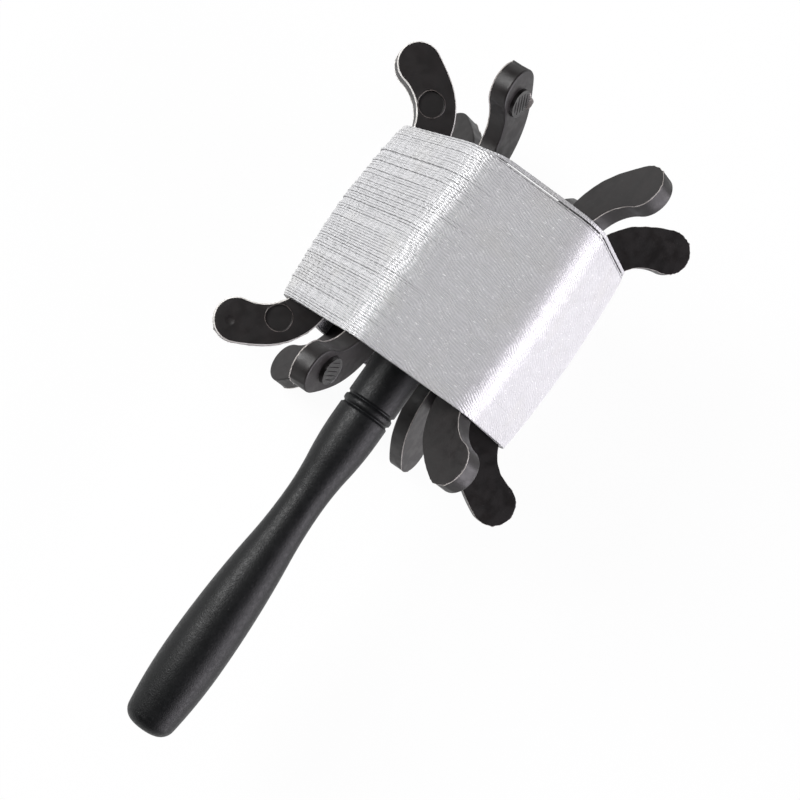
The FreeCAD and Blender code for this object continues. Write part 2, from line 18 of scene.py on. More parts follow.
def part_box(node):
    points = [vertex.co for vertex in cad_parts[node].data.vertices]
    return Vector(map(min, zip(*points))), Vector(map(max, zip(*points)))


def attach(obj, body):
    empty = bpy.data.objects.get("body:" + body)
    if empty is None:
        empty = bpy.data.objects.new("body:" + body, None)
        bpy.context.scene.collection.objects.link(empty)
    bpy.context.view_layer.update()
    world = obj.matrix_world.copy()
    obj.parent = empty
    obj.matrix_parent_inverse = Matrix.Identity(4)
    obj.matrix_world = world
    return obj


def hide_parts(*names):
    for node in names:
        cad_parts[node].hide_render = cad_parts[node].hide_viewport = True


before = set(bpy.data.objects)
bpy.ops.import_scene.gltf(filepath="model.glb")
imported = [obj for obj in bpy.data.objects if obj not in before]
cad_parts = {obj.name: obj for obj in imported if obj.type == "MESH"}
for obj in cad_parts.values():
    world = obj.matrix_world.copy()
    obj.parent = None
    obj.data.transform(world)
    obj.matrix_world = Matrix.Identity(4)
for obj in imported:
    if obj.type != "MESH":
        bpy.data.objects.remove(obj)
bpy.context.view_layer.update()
LOG = logging.getLogger("winder")

MM = 0.001
HUB_LOW, HUB_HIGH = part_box("hub_core")
REEL_CENTRE = (HUB_LOW + HUB_HIGH) / 2.0
PLATE_COUNT = 6
TUBE_SIDES = 6
PLATE_STEP = 360.0 / PLATE_COUNT
HALF_STEP = math.radians(PLATE_STEP / 2.0)
QUARTER = math.pi / 2.0
MIX_FACTOR, MIX_A, MIX_B, MIX_RESULT = 0, 6, 7, 2
WHITE = (1.0, 1.0, 1.0, 1.0)

Socket = bpy.types.NodeSocket
Tree = bpy.types.NodeTree
Piece = bpy.types.Object


class Body(Enum):
    """The two bodies of the winder that move against each other."""

    HANDLE = "handle"
    REEL = "reel"


class Slot(Enum):
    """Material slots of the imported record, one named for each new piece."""

    PLATE = "plate_plastic"
    GRIP = "grip_plastic"
    SCREW = "screw_steel"
    SPINDLE = "spindle_steel"
    LINE = "line"


class MarkPlace(Enum):
    """Where a plate's two ejector pins stood, and what they left there."""

    TIP = "raised pad beside the tip"
    THROAT = "sunk disc under the throat"


def outward(angle: float) -> Vector:
    """Unit vector from the axis towards the plate at this angle in degrees."""
    turn = math.radians(angle)
    return Vector((0.0, -math.cos(turn), math.sin(turn)))


def sideways(angle: float) -> Vector:
    """Unit vector across the plate at this angle, towards the next plate."""
    turn = math.radians(angle)
    return Vector((0.0, math.sin(turn), math.cos(turn)))


def at(x: float, radius: float, angle: float, side: float = 0.0) -> Vector:
    """Point of the frame in metres, from millimetres along the axis, out to a plate and across it."""
    local = Vector((x, 0.0, 0.0)) + outward(angle) * radius + sideways(angle) * side
    return REEL_CENTRE + local * MM


def turns(count: int) -> list[float]:
    """Directions in radians that share out a full turn evenly."""
    return [2.0 * math.pi * index / count for index in range(count)]


def eased(share: float) -> float:
    """A share from 0 to 1 that starts and ends gently."""
    return share * share * (3.0 - 2.0 * share)


def linear(colour: str) -> tuple[float, ...]:
    """Linear colour with full alpha from an sRGB hex value such as #1c1b1b."""
    shares = [int(colour[index:index + 2], 16) / 255.0 for index in (1, 3, 5)]
    return (*[c / 12.92 if c <= 0.04045 else ((c + 0.055) / 1.055) ** 2.4 for c in shares], 1.0)


def per_metre(size: float) -> float:
    """Texture scale at which one feature is this many millimetres wide."""
    return 1.0 / (size * MM)


def add_node(
    tree: Tree, kind: str, inputs: dict[str | int, object] | None = None, **settings: object
) -> bpy.types.bpy_prop_collection:
    """Adds a node with its settings, values and links.

    Args:
        tree: the node tree that gets the node.
        kind: the node's type, without the prefix that all of them share.
        inputs: for each input, by name or number, a value or the output that feeds it.
        settings: the node's own attributes.

    Returns:
        The node's outputs.
    """
    node = tree.nodes.new(f"ShaderNode{kind}")
    for name, value in settings.items():
        setattr(node, name, value)
    for name, value in (inputs or {}).items():
        if isinstance(value, Socket):
            tree.links.new(value, node.inputs[name])
        else:
            node.inputs[name].default_value = value
    return node.outputs


def bare_tree(owner: bpy.types.Material | bpy.types.World) -> Tree:
    """Switches on the nodes of a material or world and takes away those it comes with.

    Args:
        owner: the material or world.

    Returns:
        Its empty node tree.
    """
    owner.use_nodes = True
    owner.node_tree.nodes.clear()
    return owner.node_tree


def linked(name: str, data: bpy.types.ID) -> Piece:
    """Makes an object and links it to the scene.

    Args:
        name: the object's name.
        data: its mesh, light or camera.

    Returns:
        The object, at the frame's origin.
    """
    made = bpy.data.objects.new(name, data)
    bpy.context.scene.collection.objects.link(made)
    return made


@dataclass
class Look:
    """What a finish is drawn with.

    Each tone has its colour, its pattern, the pattern's values at which it begins and is full,
    and its share when full. Each height has its pattern and its depth in millimetres, the
    broadest first.
    """

    tones: list[tuple[str, Socket, float, float, float]]
    rubbing: Socket
    heights: list[tuple[Socket, float]] = field(default_factory=list)


@dataclass(frozen=True)
class Finish:
    """A surface finish: a common material, how its surface was made, and its plain values."""

    name: str
    colour: str
    shade: str
    roughness: float
    rough_change: float = 0.06
    ior: float = 1.5
    mottle: float = 4.0
    specular: float = 0.5
    metallic: float = 0.0
    # Values of the patterns between which the second tone and the roughness rise.
    patch_range: tuple[float, float] = (0.35, 0.65)
    rub_range: tuple[float, float] = (0.3, 0.7)

    def clouds(self) -> list[tuple[float, float]]:
        """Width in millimetres and detail of each cloudy pattern that the look uses."""
        return [(self.mottle, 3.0)]

    def look(self, tree: Tree, place: Socket, clouds: list[Socket]) -> Look:
        """Colour that drifts between two tones, and roughness that follows the same patches."""
        return Look([(self.shade, clouds[0], *self.patch_range, 1.0)], clouds[0])

    def material(self) -> bpy.types.Material:
        """The finished material.

        Returns:
            A new material with this finish's nodes.
        """
        made = bpy.data.materials.new(self.name)
        tree = bare_tree(made)
        place = add_node(tree, "TexCoord")["Object"]
        clouds = []
        for size, detail in self.clouds():
            inputs = {"Vector": place, "Scale": per_metre(size), "Detail": detail}
            clouds.append(add_node(tree, "TexNoise", inputs)["Fac"])
        look = self.look(tree, place, clouds)
        colour = linear(self.colour)
        for tone, pattern, start, full, share in look.tones:
            reach = {"Value": pattern, "From Min": start, "From Max": full, "To Max": share}
            factor = add_node(tree, "MapRange", reach, interpolation_type="SMOOTHSTEP")["Result"]
            mix = {MIX_FACTOR: factor, MIX_A: colour, MIX_B: linear(tone)}
            colour = add_node(tree, "Mix", mix, data_type="RGBA")[MIX_RESULT]
        start, full = self.rub_range
        reach = {"Value": look.rubbing, "From Min": start, "From Max": full}
        reach["To Min"] = self.roughness - self.rough_change
        reach["To Max"] = self.roughness + self.rough_change
        rough = add_node(tree, "MapRange", reach, interpolation_type="SMOOTHSTEP")["Result"]
        plain = {"IOR": self.ior, "Specular IOR Level": self.specular, "Metallic": self.metallic}
        surface = {"Base Color": colour, "Roughness": rough}
        bent = {}
        for height, depth in look.heights:
            relief = {"Height": height, "Distance": depth * MM, "Strength": 1.0, **bent}
            bent = {"Normal": add_node(tree, "Bump", relief)["Normal"]}
        shader = add_node(tree, "BsdfPrincipled", {**plain, **surface, **bent})["BSDF"]
        add_node(tree, "OutputMaterial", {"Surface": shader})
        return made


@dataclass(frozen=True)
class MouldedPlastic(Finish):
    """Injection-moulded plastic: the fine grain of its mould, flow patches, dust and scuffs."""

    # The real grain and dust are finer than the render shows, so both are drawn coarser.
    grain: float = 0.35
    grain_depth: float = 0.006
    wave: float = 9.0
    wave_depth: float = 0.05
    dust: str = "#8a8886"
    dust_size: float = 0.5
    dust_edge: float = 0.74
    dust_soft: float = 0.06
    dust_share: float = 0.55
    scuff: float = 3.0
    rub_range: tuple[float, float] = (0.3, 0.62)

    def clouds(self) -> list[tuple[float, float]]:
        """Patterns of its tones, dust, scuffs, waviness and grain."""
        own = [(self.dust_size, 1.0), (self.scuff, 4.0), (self.wave, 1.0), (self.grain, 2.0)]
        return super().clouds() + own

    def look(self, tree: Tree, place: Socket, clouds: list[Socket]) -> Look:
        """Two near tones with specks of dust, rubbed places, and grain over a slow waviness.

        Args:
            tree: the material's nodes.
            place: place on the piece.
            clouds: the patterns that clouds() asks for.

        Returns:
            What the plastic is drawn with.
        """
        patch, specks, rubbed, slow, fine = clouds
        dusty = (self.dust, specks, self.dust_edge, self.dust_edge + self.dust_soft)
        tones = [(self.shade, patch, *self.patch_range, 1.0), (*dusty, self.dust_share)]
        return Look(tones, rubbed, [(slow, self.wave_depth), (fine, self.grain_depth)])


@dataclass(frozen=True)
class TwistedLine(Finish):
    """Twisted white line: two plies that wind round it, with white specks painted as glints of
    filaments that catch the light.

    The meshes that wear it carry a map with the place along the line, in turns of the
    package, and the place across it, in widths of one turn. The twist follows every bend and
    falls in step on neighbouring strands, as it does on line wound under even pull.
    """

    # The real lay of the twist is finer, and is drawn as coarse as it needs to show.
    twists: float = 96.0
    # Painted shade: the second tone darkens the troughs between the plies, where the twist is low.
    ply_shade_range: tuple[float, float] = (0.6, 0.0)
    ply_depth: float = 0.11
    uneven: float = 2.2
    uneven_size: float = 4.5
    # Real filaments are some hundredths of a millimetre: these are the finest that show.
    filament: float = 0.25
    filament_depth: float = 0.014
    rub_range: tuple[float, float] = (0.35, 0.65)
    soil: str = "#cbcac8"
    soil_size: float = 14.0
    soil_range: tuple[float, float] = (0.5, 0.8)
    soil_share: float = 0.5
    # Painted shade between loose turns, and how far across the line it lies, in widths of a turn.
    furrow_shade: str = "#6e6e6f"
    furrow_shade_range: tuple[float, float] = (0.51, 0.71)
    furrow_shade_share: float = 0.85
    # Painted glints of filaments: white specks, how many lie along one turn and across one width.
    spark: str = "#ffffff"
    glint_rate: tuple[float, float, float] = (170.0, 2.4, 0.0)
    glint_range: tuple[float, float] = (0.67, 0.72)

    def clouds(self) -> list[tuple[float, float]]:
        """Patterns of its uneven twist, soil and filaments."""
        return [(self.uneven_size, 1.0), (self.soil_size, 2.0), (self.filament, 2.0)]

    def plies(self, tree: Tree, along: Socket, aside: Socket, loose: Socket) -> Socket:
        """Height of the plies: a wave that runs askew round the line.

        Args:
            tree: the material's nodes.
            along: place along the line in turns.
            aside: place across it in widths of a turn.
            loose: pattern by which the twist is uneven.

        Returns:
            The height from 0 to 1.
        """
        steps: list[tuple[str, dict[int, object], int]] = [
            ("MULTIPLY", {1: self.uneven}, 0),
            ("MULTIPLY_ADD", {0: along, 1: self.twists}, 2),
            ("SUBTRACT", {1: aside}, 0),
            ("MULTIPLY", {1: 2.0 * math.pi}, 0),
            ("SINE", {}, 0),
        ]
        value = loose
        for operation, inputs, socket in steps:
            value = add_node(tree, "Math", {**inputs, socket: value}, operation=operation)[0]
        full = {"Value": value, "From Min": -1.0}
        return add_node(tree, "MapRange", full, interpolation_type="SMOOTHSTEP")["Result"]

    def look(self, tree: Tree, place: Socket, clouds: list[Socket]) -> Look:
        """White, greyer where handled, with painted shade in its troughs and painted glints of
        filaments.

        Args:
            tree: the material's nodes.
            place: place on the piece.
            clouds: the patterns that clouds() asks for.

        Returns:
            What the line is drawn with.
        """
        loose, handled, hairs = clouds
        mapped = add_node(tree, "UVMap", uv_map="line")["UV"]
        parts = add_node(tree, "SeparateXYZ", {"Vector": mapped})
        twist = self.plies(tree, parts["X"], parts["Y"], loose)
        # Distance from a strand's middle, which sets the painted shade on the sides of loose turns.
        edge = add_node(tree, "Math", {0: parts["Y"]}, operation="ABSOLUTE")[0]
        # White specks along the strands: painted glints of filaments.
        rate = {0: mapped, 1: self.glint_rate}
        glint_streaks = add_node(tree, "VectorMath", rate, operation="MULTIPLY")["Vector"]
        specks = add_node(tree, "TexNoise", {"Vector": glint_streaks, "Scale": 1.0, "Detail": 1.0})
        tones = [
            # painted shade in the troughs of the plies
            (self.shade, twist, *self.ply_shade_range, 1.0),
            (self.soil, handled, *self.soil_range, self.soil_share),
            # painted shade between loose turns
            (self.furrow_shade, edge, *self.furrow_shade_range, self.furrow_shade_share),
            # painted glints
            (self.spark, specks["Fac"], *self.glint_range, 1.0),
        ]
        return Look(tones, hairs, [(twist, self.ply_depth), (hairs, self.filament_depth)])


@dataclass(frozen=True)
class WorkedSteel(Finish):
    """Turned or plated steel: fine tool rings along the axis over a cloudy surface."""

    # Real tool rings lie about a tenth of a millimetre apart, and are drawn as wide apart as
    # they need to show. At a scale of 1 the wave turns by this many radians in a unit of length.
    ring_turn: float = 20.0
    ring: float = 1.3823
    ring_depth: float = 0.002
    ring_waver: float = 0.4

    def look(self, tree: Tree, place: Socket, clouds: list[Socket]) -> Look:
        """Two close greys, cloudy roughness and tool rings.

        Args:
            tree: the material's nodes.
            place: place on the piece.
            clouds: the patterns that clouds() asks for.

        Returns:
            What the steel is drawn with.
        """
        look = super().look(tree, place, clouds)
        scale = per_metre(self.ring) * 2.0 * math.pi / self.ring_turn
        inputs = {"Vector": place, "Scale": scale, "Distortion": self.ring_waver}
        rings = add_node(tree, "TexWave", inputs, bands_direction="X")["Fac"]
        return Look(look.tones, look.rubbing, [(rings, self.ring_depth)])


# Moulded black ABS: satin, with the light sliding along its rounded edges.
PLATE_ABS = MouldedPlastic(
    "black_abs_moulded", "#141111", "#1a1616", 0.44, 0.08, 1.52,
    specular=0.42, grain=0.3, wave=7.0, dust_edge=0.8,
)
# Stress-whitened ABS where the two mould halves met: a thin, pale, ragged line.
FLASH_ABS = MouldedPlastic(
    "black_abs_flash", "#8b8682", "#b9b4b0", 0.5, 0.08, 1.53, grain=0.2, wave=2.0
)
# The same ABS, pale: a painted highlight along one plate's rounded edge and its parting line.
EDGE_HIGHLIGHT_ABS = MouldedPlastic(
    "black_abs_painted_edge_highlight", "#c9c5c1", "#e4e1de", 0.5, 0.08, 1.53, grain=0.2, wave=2.0
)
# The thin lip that rose round a pin: half whitened.
PIN_LIP_ABS = MouldedPlastic(
    "black_abs_pin_lip", "#4d4644", "#6b6360", 0.5, 0.08, 1.53, grain=0.2, wave=2.0
)
# ABS torn and scored by an ejector pin: duller than the face round it.
PIN_MARK_ABS = MouldedPlastic(
    "black_abs_pin_mark", "#292a28", "#343432", 0.46, 0.1, 1.53, grain=0.18, wave=1.5
)
# Moulded black polypropylene with a spark-eroded grain: a soft, sparkling sheen. The real
# grain is about a tenth of a millimetre, too fine to show.
GRIP_PP = MouldedPlastic(
    "black_pp_spark_eroded", "#0d0e0f", "#121314", 0.42, 0.07, 1.49,
    specular=0.25, grain=0.4, grain_depth=0.085, scuff=0.9, wave=6.0,
    dust="#5c5b5a", dust_size=0.4, dust_edge=0.75,
)
# Hub moulding in the same black ABS, less handled and glossier.
HUB_ABS = MouldedPlastic(
    "black_abs_hub", "#1a1919", "#1f1e1e", 0.3, 0.06, 1.53, grain=0.4, wave=10.0
)
# Natural nylon, machined: milky and waxy.
BUSH_NYLON = MouldedPlastic(
    "natural_nylon_turned", "#d9d5c6", "#cfcab9", 0.38, 0.06, 1.53,
    dust="#b8b2a0", grain=0.25, grain_depth=0.004,
)
# Twisted polyester line: bright white filaments, with painted shade in its furrows and painted
# glints.
# A share of metal stands for the lustre of filaments that all run one way.
WHITE_LINE = TwistedLine(
    "white_polyester_twisted", "#d2d2d4", "#c5c5c7", 0.37, 0.06, 1.52,
    specular=1.0, metallic=0.25,
)
# Zinc-plated steel of small screws: cloudy, slightly blue.
SCREW_ZINC = WorkedSteel(
    "steel_zinc_plated", "#b9bcc0", "#a5a8ad", 0.3, 0.08, mottle=1.2, metallic=1.0
)
# Ground steel of the spindle and its nut: brighter, with fine rings.
SPINDLE_STEEL = WorkedSteel(
    "steel_ground", "#c4c4c2", "#b4b4b3", 0.22, 0.06, mottle=2.5, metallic=1.0
)


class Paint:
    """Makes each finish's material once and hands it out."""

    made: dict[str, bpy.types.Material] = {}

    @classmethod
    def of(cls, finish: Finish) -> bpy.types.Material:
        """The material of a finish.

        Args:
            finish: the finish that is wanted.

        Returns:
            Its material, the same one each time.
        """
        if finish.name not in cls.made:
            cls.made[finish.name] = finish.material()
        return cls.made[finish.name]


@dataclass
class Draft:
    """Vertices and faces of a piece while it is built."""

    vertices: list[Vector] = field(default_factory=list)
    faces: list[tuple[int, ...]] = field(default_factory=list)
    finish_of: list[int] = field(default_factory=list)
    maps: list[tuple[float, float]] = field(default_factory=list)

    def ring(self, points: list[Vector]) -> list[int]:
        """Adds points and returns their numbers."""
        self.vertices.extend(points)
        return list(range(len(self.vertices) - len(points), len(self.vertices)))

    def face(self, numbers: list[int] | tuple[int, ...], finish: int = 0) -> None:
        """Adds one face."""
        self.faces.append(tuple(numbers))
        self.finish_of.append(finish)

    def bridge(self, low: list[int], high: list[int], finish: int = 0) -> None:
        """Joins two closed rings of the same length with quads.

        Args:
            low: numbers of the first ring.
            high: numbers of the second ring.
            finish: number of the quads' finish.
        """
        for index, start in enumerate(low):
            after = (index + 1) % len(low)
            self.face((start, low[after], high[after], high[index]), finish)

    def chain(self, rings: list[list[int]], finishes: list[int] | None = None) -> None:
        """Joins each ring with the next, in the finish that is given for the second of the two."""
        for index in range(1, len(rings)):
            self.bridge(rings[index - 1], rings[index], finishes[index] if finishes else 0)

    def solid(self, rings: list[list[int]], finish: int = 0) -> None:
        """Joins each ring with the next and closes both ends.

        Args:
            rings: the rings in order.
            finish: number of the finish of all the faces.
        """
        self.chain(rings, [finish] * len(rings))
        self.face(rings[0], finish)
        self.face(rings[-1], finish)

    def fill(self, loops: list[list[int]], finish: int = 0) -> None:
        """Fills a flat loop with triangles.

        Args:
            loops: the loop's numbers, then those of the holes in it.
            finish: number of the triangles' finish.
        """
        flat = bmesh.new()
        numbers = []
        for loop in loops:
            made = [flat.verts.new(self.vertices[number]) for number in loop]
            numbers.extend(loop)
            for index, vertex in enumerate(made):
                flat.edges.new((vertex, made[(index + 1) % len(made)]))
        flat.verts.index_update()
        bmesh.ops.triangle_fill(flat, use_beauty=True, edges=flat.edges[:])
        for triangle in flat.faces:
            self.face([numbers[v.index] for v in triangle.verts], finish)
        flat.free()

    def tube(self, path: list[Vector], radii: tuple[float, ...], finish: int) -> None:
        """Adds a thin closed tube along an open path.

        Args:
            path: points of its middle line.
            radii: its radius at each point in millimetres.
            finish: number of its finish.
        """
        rings = []
        for index, point in enumerate(path):
            ahead = path[min(index + 1, len(path) - 1)] - path[max(index - 1, 0)]
            across = ahead.orthogonal().normalized()
            other = ahead.normalized().cross(across)
            ways = [across * math.cos(t) + other * math.sin(t) for t in turns(TUBE_SIDES)]
            rings.append(self.ring([point + way * radii[index] * MM for way in ways]))
        self.solid(rings, finish)

    def build(self, name: str, finishes: list[Finish], sharp: float = 35.0) -> Piece:
        """The finished piece. One without a map also gets even normals and sharp edges.

        Args:
            name: the piece's name.
            finishes: its finishes, by the numbers that its faces hold.
            sharp: degrees between faces above which an edge stays sharp.

        Returns:
            The piece, linked to the scene and at the frame's origin.
        """
        mesh = bpy.data.meshes.new(name)
        mesh.from_pydata([tuple(v) for v in self.vertices], [], self.faces)
        mesh.polygons.foreach_set("material_index", self.finish_of)
        mesh.polygons.foreach_set("use_smooth", [True] * len(self.faces))
        for finish in finishes:
            mesh.materials.append(Paint.of(finish))
        made = linked(name, mesh)
        if self.maps:
            layer = mesh.uv_layers.new(name="line")
            layer.data.foreach_set("uv", [value for pair in self.maps for value in pair])
            return made
        shell = bmesh.new()
        shell.from_mesh(mesh)
        bmesh.ops.recalc_face_normals(shell, faces=shell.faces[:])
        shell.to_mesh(mesh)
        shell.free()
        mesh.set_sharp_from_angle(angle=math.radians(sharp))
        made.modifiers.new("even_flats", "WEIGHTED_NORMAL").keep_sharp = True
        return made


def place(piece: Piece, body: Body, slot: Slot, *nodes: str) -> None:
    """Rides a piece on its body and hides the nodes it stands for.

    Args:
        piece: the piece.
        body: the body that carries it.
        slot: its material slot; not used.
        nodes: the nodes that it stands for.
    """
    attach(piece, body.value)
    if nodes:
        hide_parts(*nodes)
    LOG.info("%s: %d faces", piece.name, len(piece.data.polygons))


@dataclass
class Plane:
    """A point of a flat outline: x along the axis and the radius from it."""

    x: float
    r: float

    def moved(self, turn: float, reach: float) -> "Plane":
        """The point this far away in a direction in radians."""
        return Plane(self.x + reach * math.cos(turn), self.r + reach * math.sin(turn))

    def towards(self, other: "Plane") -> float:
        """Direction in radians from this point to another."""
        return math.atan2(other.r - self.r, other.x - self.x)

    def distance(self, other: "Plane") -> float:
        """Distance to another point."""
        return math.hypot(other.x - self.x, other.r - self.r)


def arc(centre: Plane, radius: float, start: float, end: float, step: float) -> list[Plane]:
    """Points of an arc, about a step apart, the first included and the last left out."""
    count = max(3, round(abs(end - start) * radius / step))
    return [centre.moved(start + (end - start) * i / count, radius) for i in range(count)]


def run(start: Plane, end: Plane, step: float) -> list[Plane]:
    """Points of a straight line, about a step apart, the first included, the last left out."""
    count = max(1, round(start.distance(end) / step))
    return [start.moved(start.towards(end), start.distance(end) * i / count) for i in range(count)]


@dataclass(frozen=True)
class MarkRing:
    """One ring of a pin mark.

    Its radius less the mark's, its level from 0 on the plate's face to 1 on the mark's own, its
    height over that level, its uneven height as a share of the lip's, and the finish of the
    faces that lead up to it.
    """

    reach: float
    level: float = 0.0
    rise: float = 0.0
    lift: float = 0.0
    finish: int = 0


@dataclass
class HornPlate:
    """One flat plate with a horn at each end, moulded in black ABS.

    Its smooth face has a parting line along the edge, and its other face a softer edge and
    the marks of two ejector pins.
    """

    number: int
    marks: MarkPlace
    draft: Draft = field(default_factory=Draft)
    length: float = 99.0
    radius: float = 50.0
    thickness: float = 5.2
    seat_radius: float = 34.6
    inner_radius: float = 24.5
    tip_radius: float = 6.25
    throat_radius: float = 12.35
    back_radius: float = 50.0
    shoulder_radius: float = 21.0
    shoulder_x: float = 27.3
    leg_fillet: float = 3.0
    leg_inner_x: float = 8.0
    leg_outer_x: float = 18.0
    foot_radius: float = 11.5
    tongue_depth: float = 3.4
    tongue_overlap: float = 0.3
    tongue_neck: float = 2.8
    tongue_base: float = 4.0
    soft_edge: float = 0.55
    crisp_edge: float = 0.16
    edge_steps: int = 4
    point_step: float = 0.7
    tip_step: float = 0.25
    fillet_step: float = 0.5
    window_step: float = 0.6
    # Parting line, and the broken gate on each tip that it runs over.
    flash_reach: float = 0.26
    flash_height: float = 0.24
    flash_share: float = 0.37
    flash_root: float = 0.02
    flash_sink: float = 0.06
    gate_turn: float = 32.0
    gate_width: float = 0.55
    gate_reach: float = 0.4
    gate_middle: float = 0.6
    gate_lip: float = 0.8
    # Pin marks: their middles from the tip's middle, or round the throat's middle.
    tip_mark: tuple[float, float] = (-1.65, -2.35)
    throat_mark: tuple[float, float] = (-47.6, 4.25)
    pin_radius: float = 3.85
    pin_points: int = 48
    pin_seed: float = 3.1
    pin_rate: float = 1.9
    pin_uneven: float = 0.03
    pad_rings: tuple[MarkRing, ...] = (
        MarkRing(0.35),
        MarkRing(0.06, rise=0.06),
        MarkRing(0.0, rise=0.3),
        MarkRing(-0.02, 1.0, -0.1),
        MarkRing(-0.05, 1.0, lift=1.0),
        MarkRing(-0.2, 1.0, lift=0.5, finish=2),
        MarkRing(-0.32, 1.0, finish=2),
    )
    disc_rings: tuple[MarkRing, ...] = (
        MarkRing(0.3),
        MarkRing(0.16, lift=1.0),
        MarkRing(0.02, lift=1.2, finish=3),
        MarkRing(-0.1),
        MarkRing(-0.14, 1.0, 0.08),
        MarkRing(-0.34, 1.0),
    )
    pad_height: float = 1.1
    pad_lean: float = 0.14
    disc_radius: float = 3.7
    disc_depth: float = 0.5
    lip_height: float = 0.17
    # The lip's least and mean height and how far it comes and goes, as shares of its height.
    lip_least: float = 0.1
    lip_mean: float = 0.5
    lip_swing: float = 1.4
    score_gap: float = 1.2
    score_margin: float = 0.7
    score_turn: tuple[float, float] = (108.0, 55.0)
    # Least length of a score as a share of the pad's width there, and its uneven part.
    score_least: float = 0.75
    score_change: float = 0.2
    score_share: float = 0.9
    score_shares: tuple[float, ...] = (-1.0, -0.35, 0.35, 1.0)
    score_radii: tuple[float, ...] = (0.1, 0.2, 0.19, 0.09)
    # Torn flap on a pad's inner edge, and the nick where it broke off.
    burr_turns: tuple[float, float] = (-82.0, -28.0)
    burr_height: float = 1.25
    burr_steps: int = 12
    burr_thickness: float = 0.09
    burr_power: float = 0.6
    burr_least: float = 0.8
    burr_change: float = 0.3
    burr_share: float = 0.31
    # The flap's foot inside the pad's edge and under its top, and its crest outside the edge.
    burr_inset: float = 0.14
    burr_root: float = 0.2
    burr_outset: float = 0.1
    burr_lean: float = 0.35
    nick_turns: tuple[float, float] = (-30.0, -6.0)
    nick_radii: tuple[float, ...] = (0.06, 0.16, 0.24, 0.18, 0.05)
    nick_offset: float = 0.05
    # Place of a dimple from the left tip's middle, and radius and depth of its rings.
    dimple_place: tuple[float, float] = (-1.15, 1.35)
    dimple_points: int = 24
    dimple_rings: tuple[tuple[float, float], ...] = (
        (1.5, 0.0), (1.25, 0.05), (0.9, 0.16), (0.5, 0.24)
    )
    # Numbers of the plates that have the dimple, and the painted highlight on the rounded edge.
    dimpled: int = 4
    edge_highlight_plate: int = 4
    # Steps of the noise from plate to plate and from use to use.
    plate_seed: float = 7.3
    use_seed: float = 11.0

    @property
    def angle(self) -> float:
        """The plate's angle round the hub in degrees."""
        return (self.number - 1) * PLATE_STEP

    @property
    def tip(self) -> Plane:
        """Middle of the right horn's round tip."""
        return Plane(self.length / 2.0 - self.tip_radius, self.radius - self.tip_radius)

    @property
    def throat(self) -> Plane:
        """Middle of the round throat between the seat and the right horn.

        Returns:
            The point from which the throat touches both the seat and the tip's circle.
        """
        height = self.seat_radius + self.throat_radius
        reach = self.throat_radius + self.tip_radius
        across = math.sqrt(reach**2 - (height - self.tip.r) ** 2)
        return Plane(self.tip.x - across, height)

    @property
    def shoulder(self) -> Plane:
        """Middle of the arc between the horn's back and the inner edge."""
        return Plane(self.shoulder_x, self.inner_radius + self.shoulder_radius)

    @property
    def back(self) -> Plane:
        """Middle of the long back arc.

        Returns:
            The point from which that arc touches the circles of the tip and the shoulder.
        """
        shoulder = self.shoulder
        to_tip = self.back_radius - self.tip_radius
        to_shoulder = self.back_radius - self.shoulder_radius
        base = shoulder.distance(self.tip)
        along = (to_shoulder**2 - to_tip**2 + base**2) / (2.0 * base)
        across = math.sqrt(to_shoulder**2 - along**2)
        turn = shoulder.towards(self.tip)
        return shoulder.moved(turn, along).moved(turn + QUARTER, across)

    def outline(self) -> list[Plane]:
        """The plate's outline.

        Returns:
            Its points from the middle of the seat round by the right horn and back.
        """
        tip, throat, back, shoulder = self.tip, self.throat, self.back, self.shoulder
        seat, inner, foot = self.seat_radius, self.inner_radius, self.foot_radius
        near, far, step = self.leg_inner_x, self.leg_outer_x, self.point_step
        leg = Plane(far + self.leg_fillet, inner - self.leg_fillet)
        window = Plane(0.0, leg.r - near)
        bow = throat.towards(tip)
        to_tip, to_shoulder = back.towards(tip), back.towards(shoulder)
        right = [
            *run(Plane(0.0, seat), Plane(throat.x, seat), step),
            *arc(throat, self.throat_radius, -QUARTER, bow, step),
            *arc(tip, self.tip_radius, bow + math.pi, to_tip, self.tip_step),
            *arc(back, self.back_radius, to_tip, to_shoulder, step),
            *arc(shoulder, self.shoulder_radius, to_shoulder, -QUARTER, step),
            *run(Plane(shoulder.x, inner), Plane(leg.x, inner), step),
            *arc(leg, self.leg_fillet, QUARTER, math.pi, self.fillet_step),
            *run(Plane(far, leg.r), Plane(far, foot), step),
            *run(Plane(far, foot), Plane(near, foot), step),
            *run(Plane(near, foot), Plane(near, window.r), step),
            *arc(window, near, 0.0, QUARTER, self.window_step),
            Plane(0.0, window.r + near),
        ]
        return right + [Plane(-point.x, point.r) for point in right[-2:0:-1]]

    def inward(self, points: list[Plane]) -> list[Plane]:
        """For each outline point, the step that moves it inwards by one millimetre.

        Args:
            points: the closed outline.

        Returns:
            The steps in the same order.
        """
        steps = []
        for index, point in enumerate(points):
            before = points[index - 1].towards(point)
            after = point.towards(points[(index + 1) % len(points)])
            half = ((after - before + math.pi) % (2.0 * math.pi) - math.pi) / 2.0
            reach = 1.0 / max(0.5, math.cos(half))
            steps.append(Plane(0.0, 0.0).moved(before + half - QUARTER, reach))
        return steps

    def ragged(self, index: int, share: float) -> float:
        """An uneven value from 0 to 1 that differs along the outline, by plate and by use."""
        spot = Vector((index * share, self.number * self.plate_seed, share * self.use_seed))
        return min(1.0, max(0.0, 0.5 + noise.noise(spot)))

    def gate(self, point: Plane) -> float:
        """How far the broken gate on a horn's tip stands out at an outline point.

        Args:
            point: the outline point, on either horn.

        Returns:
            A share from 0 to 1.
        """
        spot = self.tip.moved(math.radians(self.gate_turn), self.tip_radius)
        gap = Plane(abs(point.x), point.r).distance(spot)
        return math.exp(-((gap / self.gate_width) ** 2))

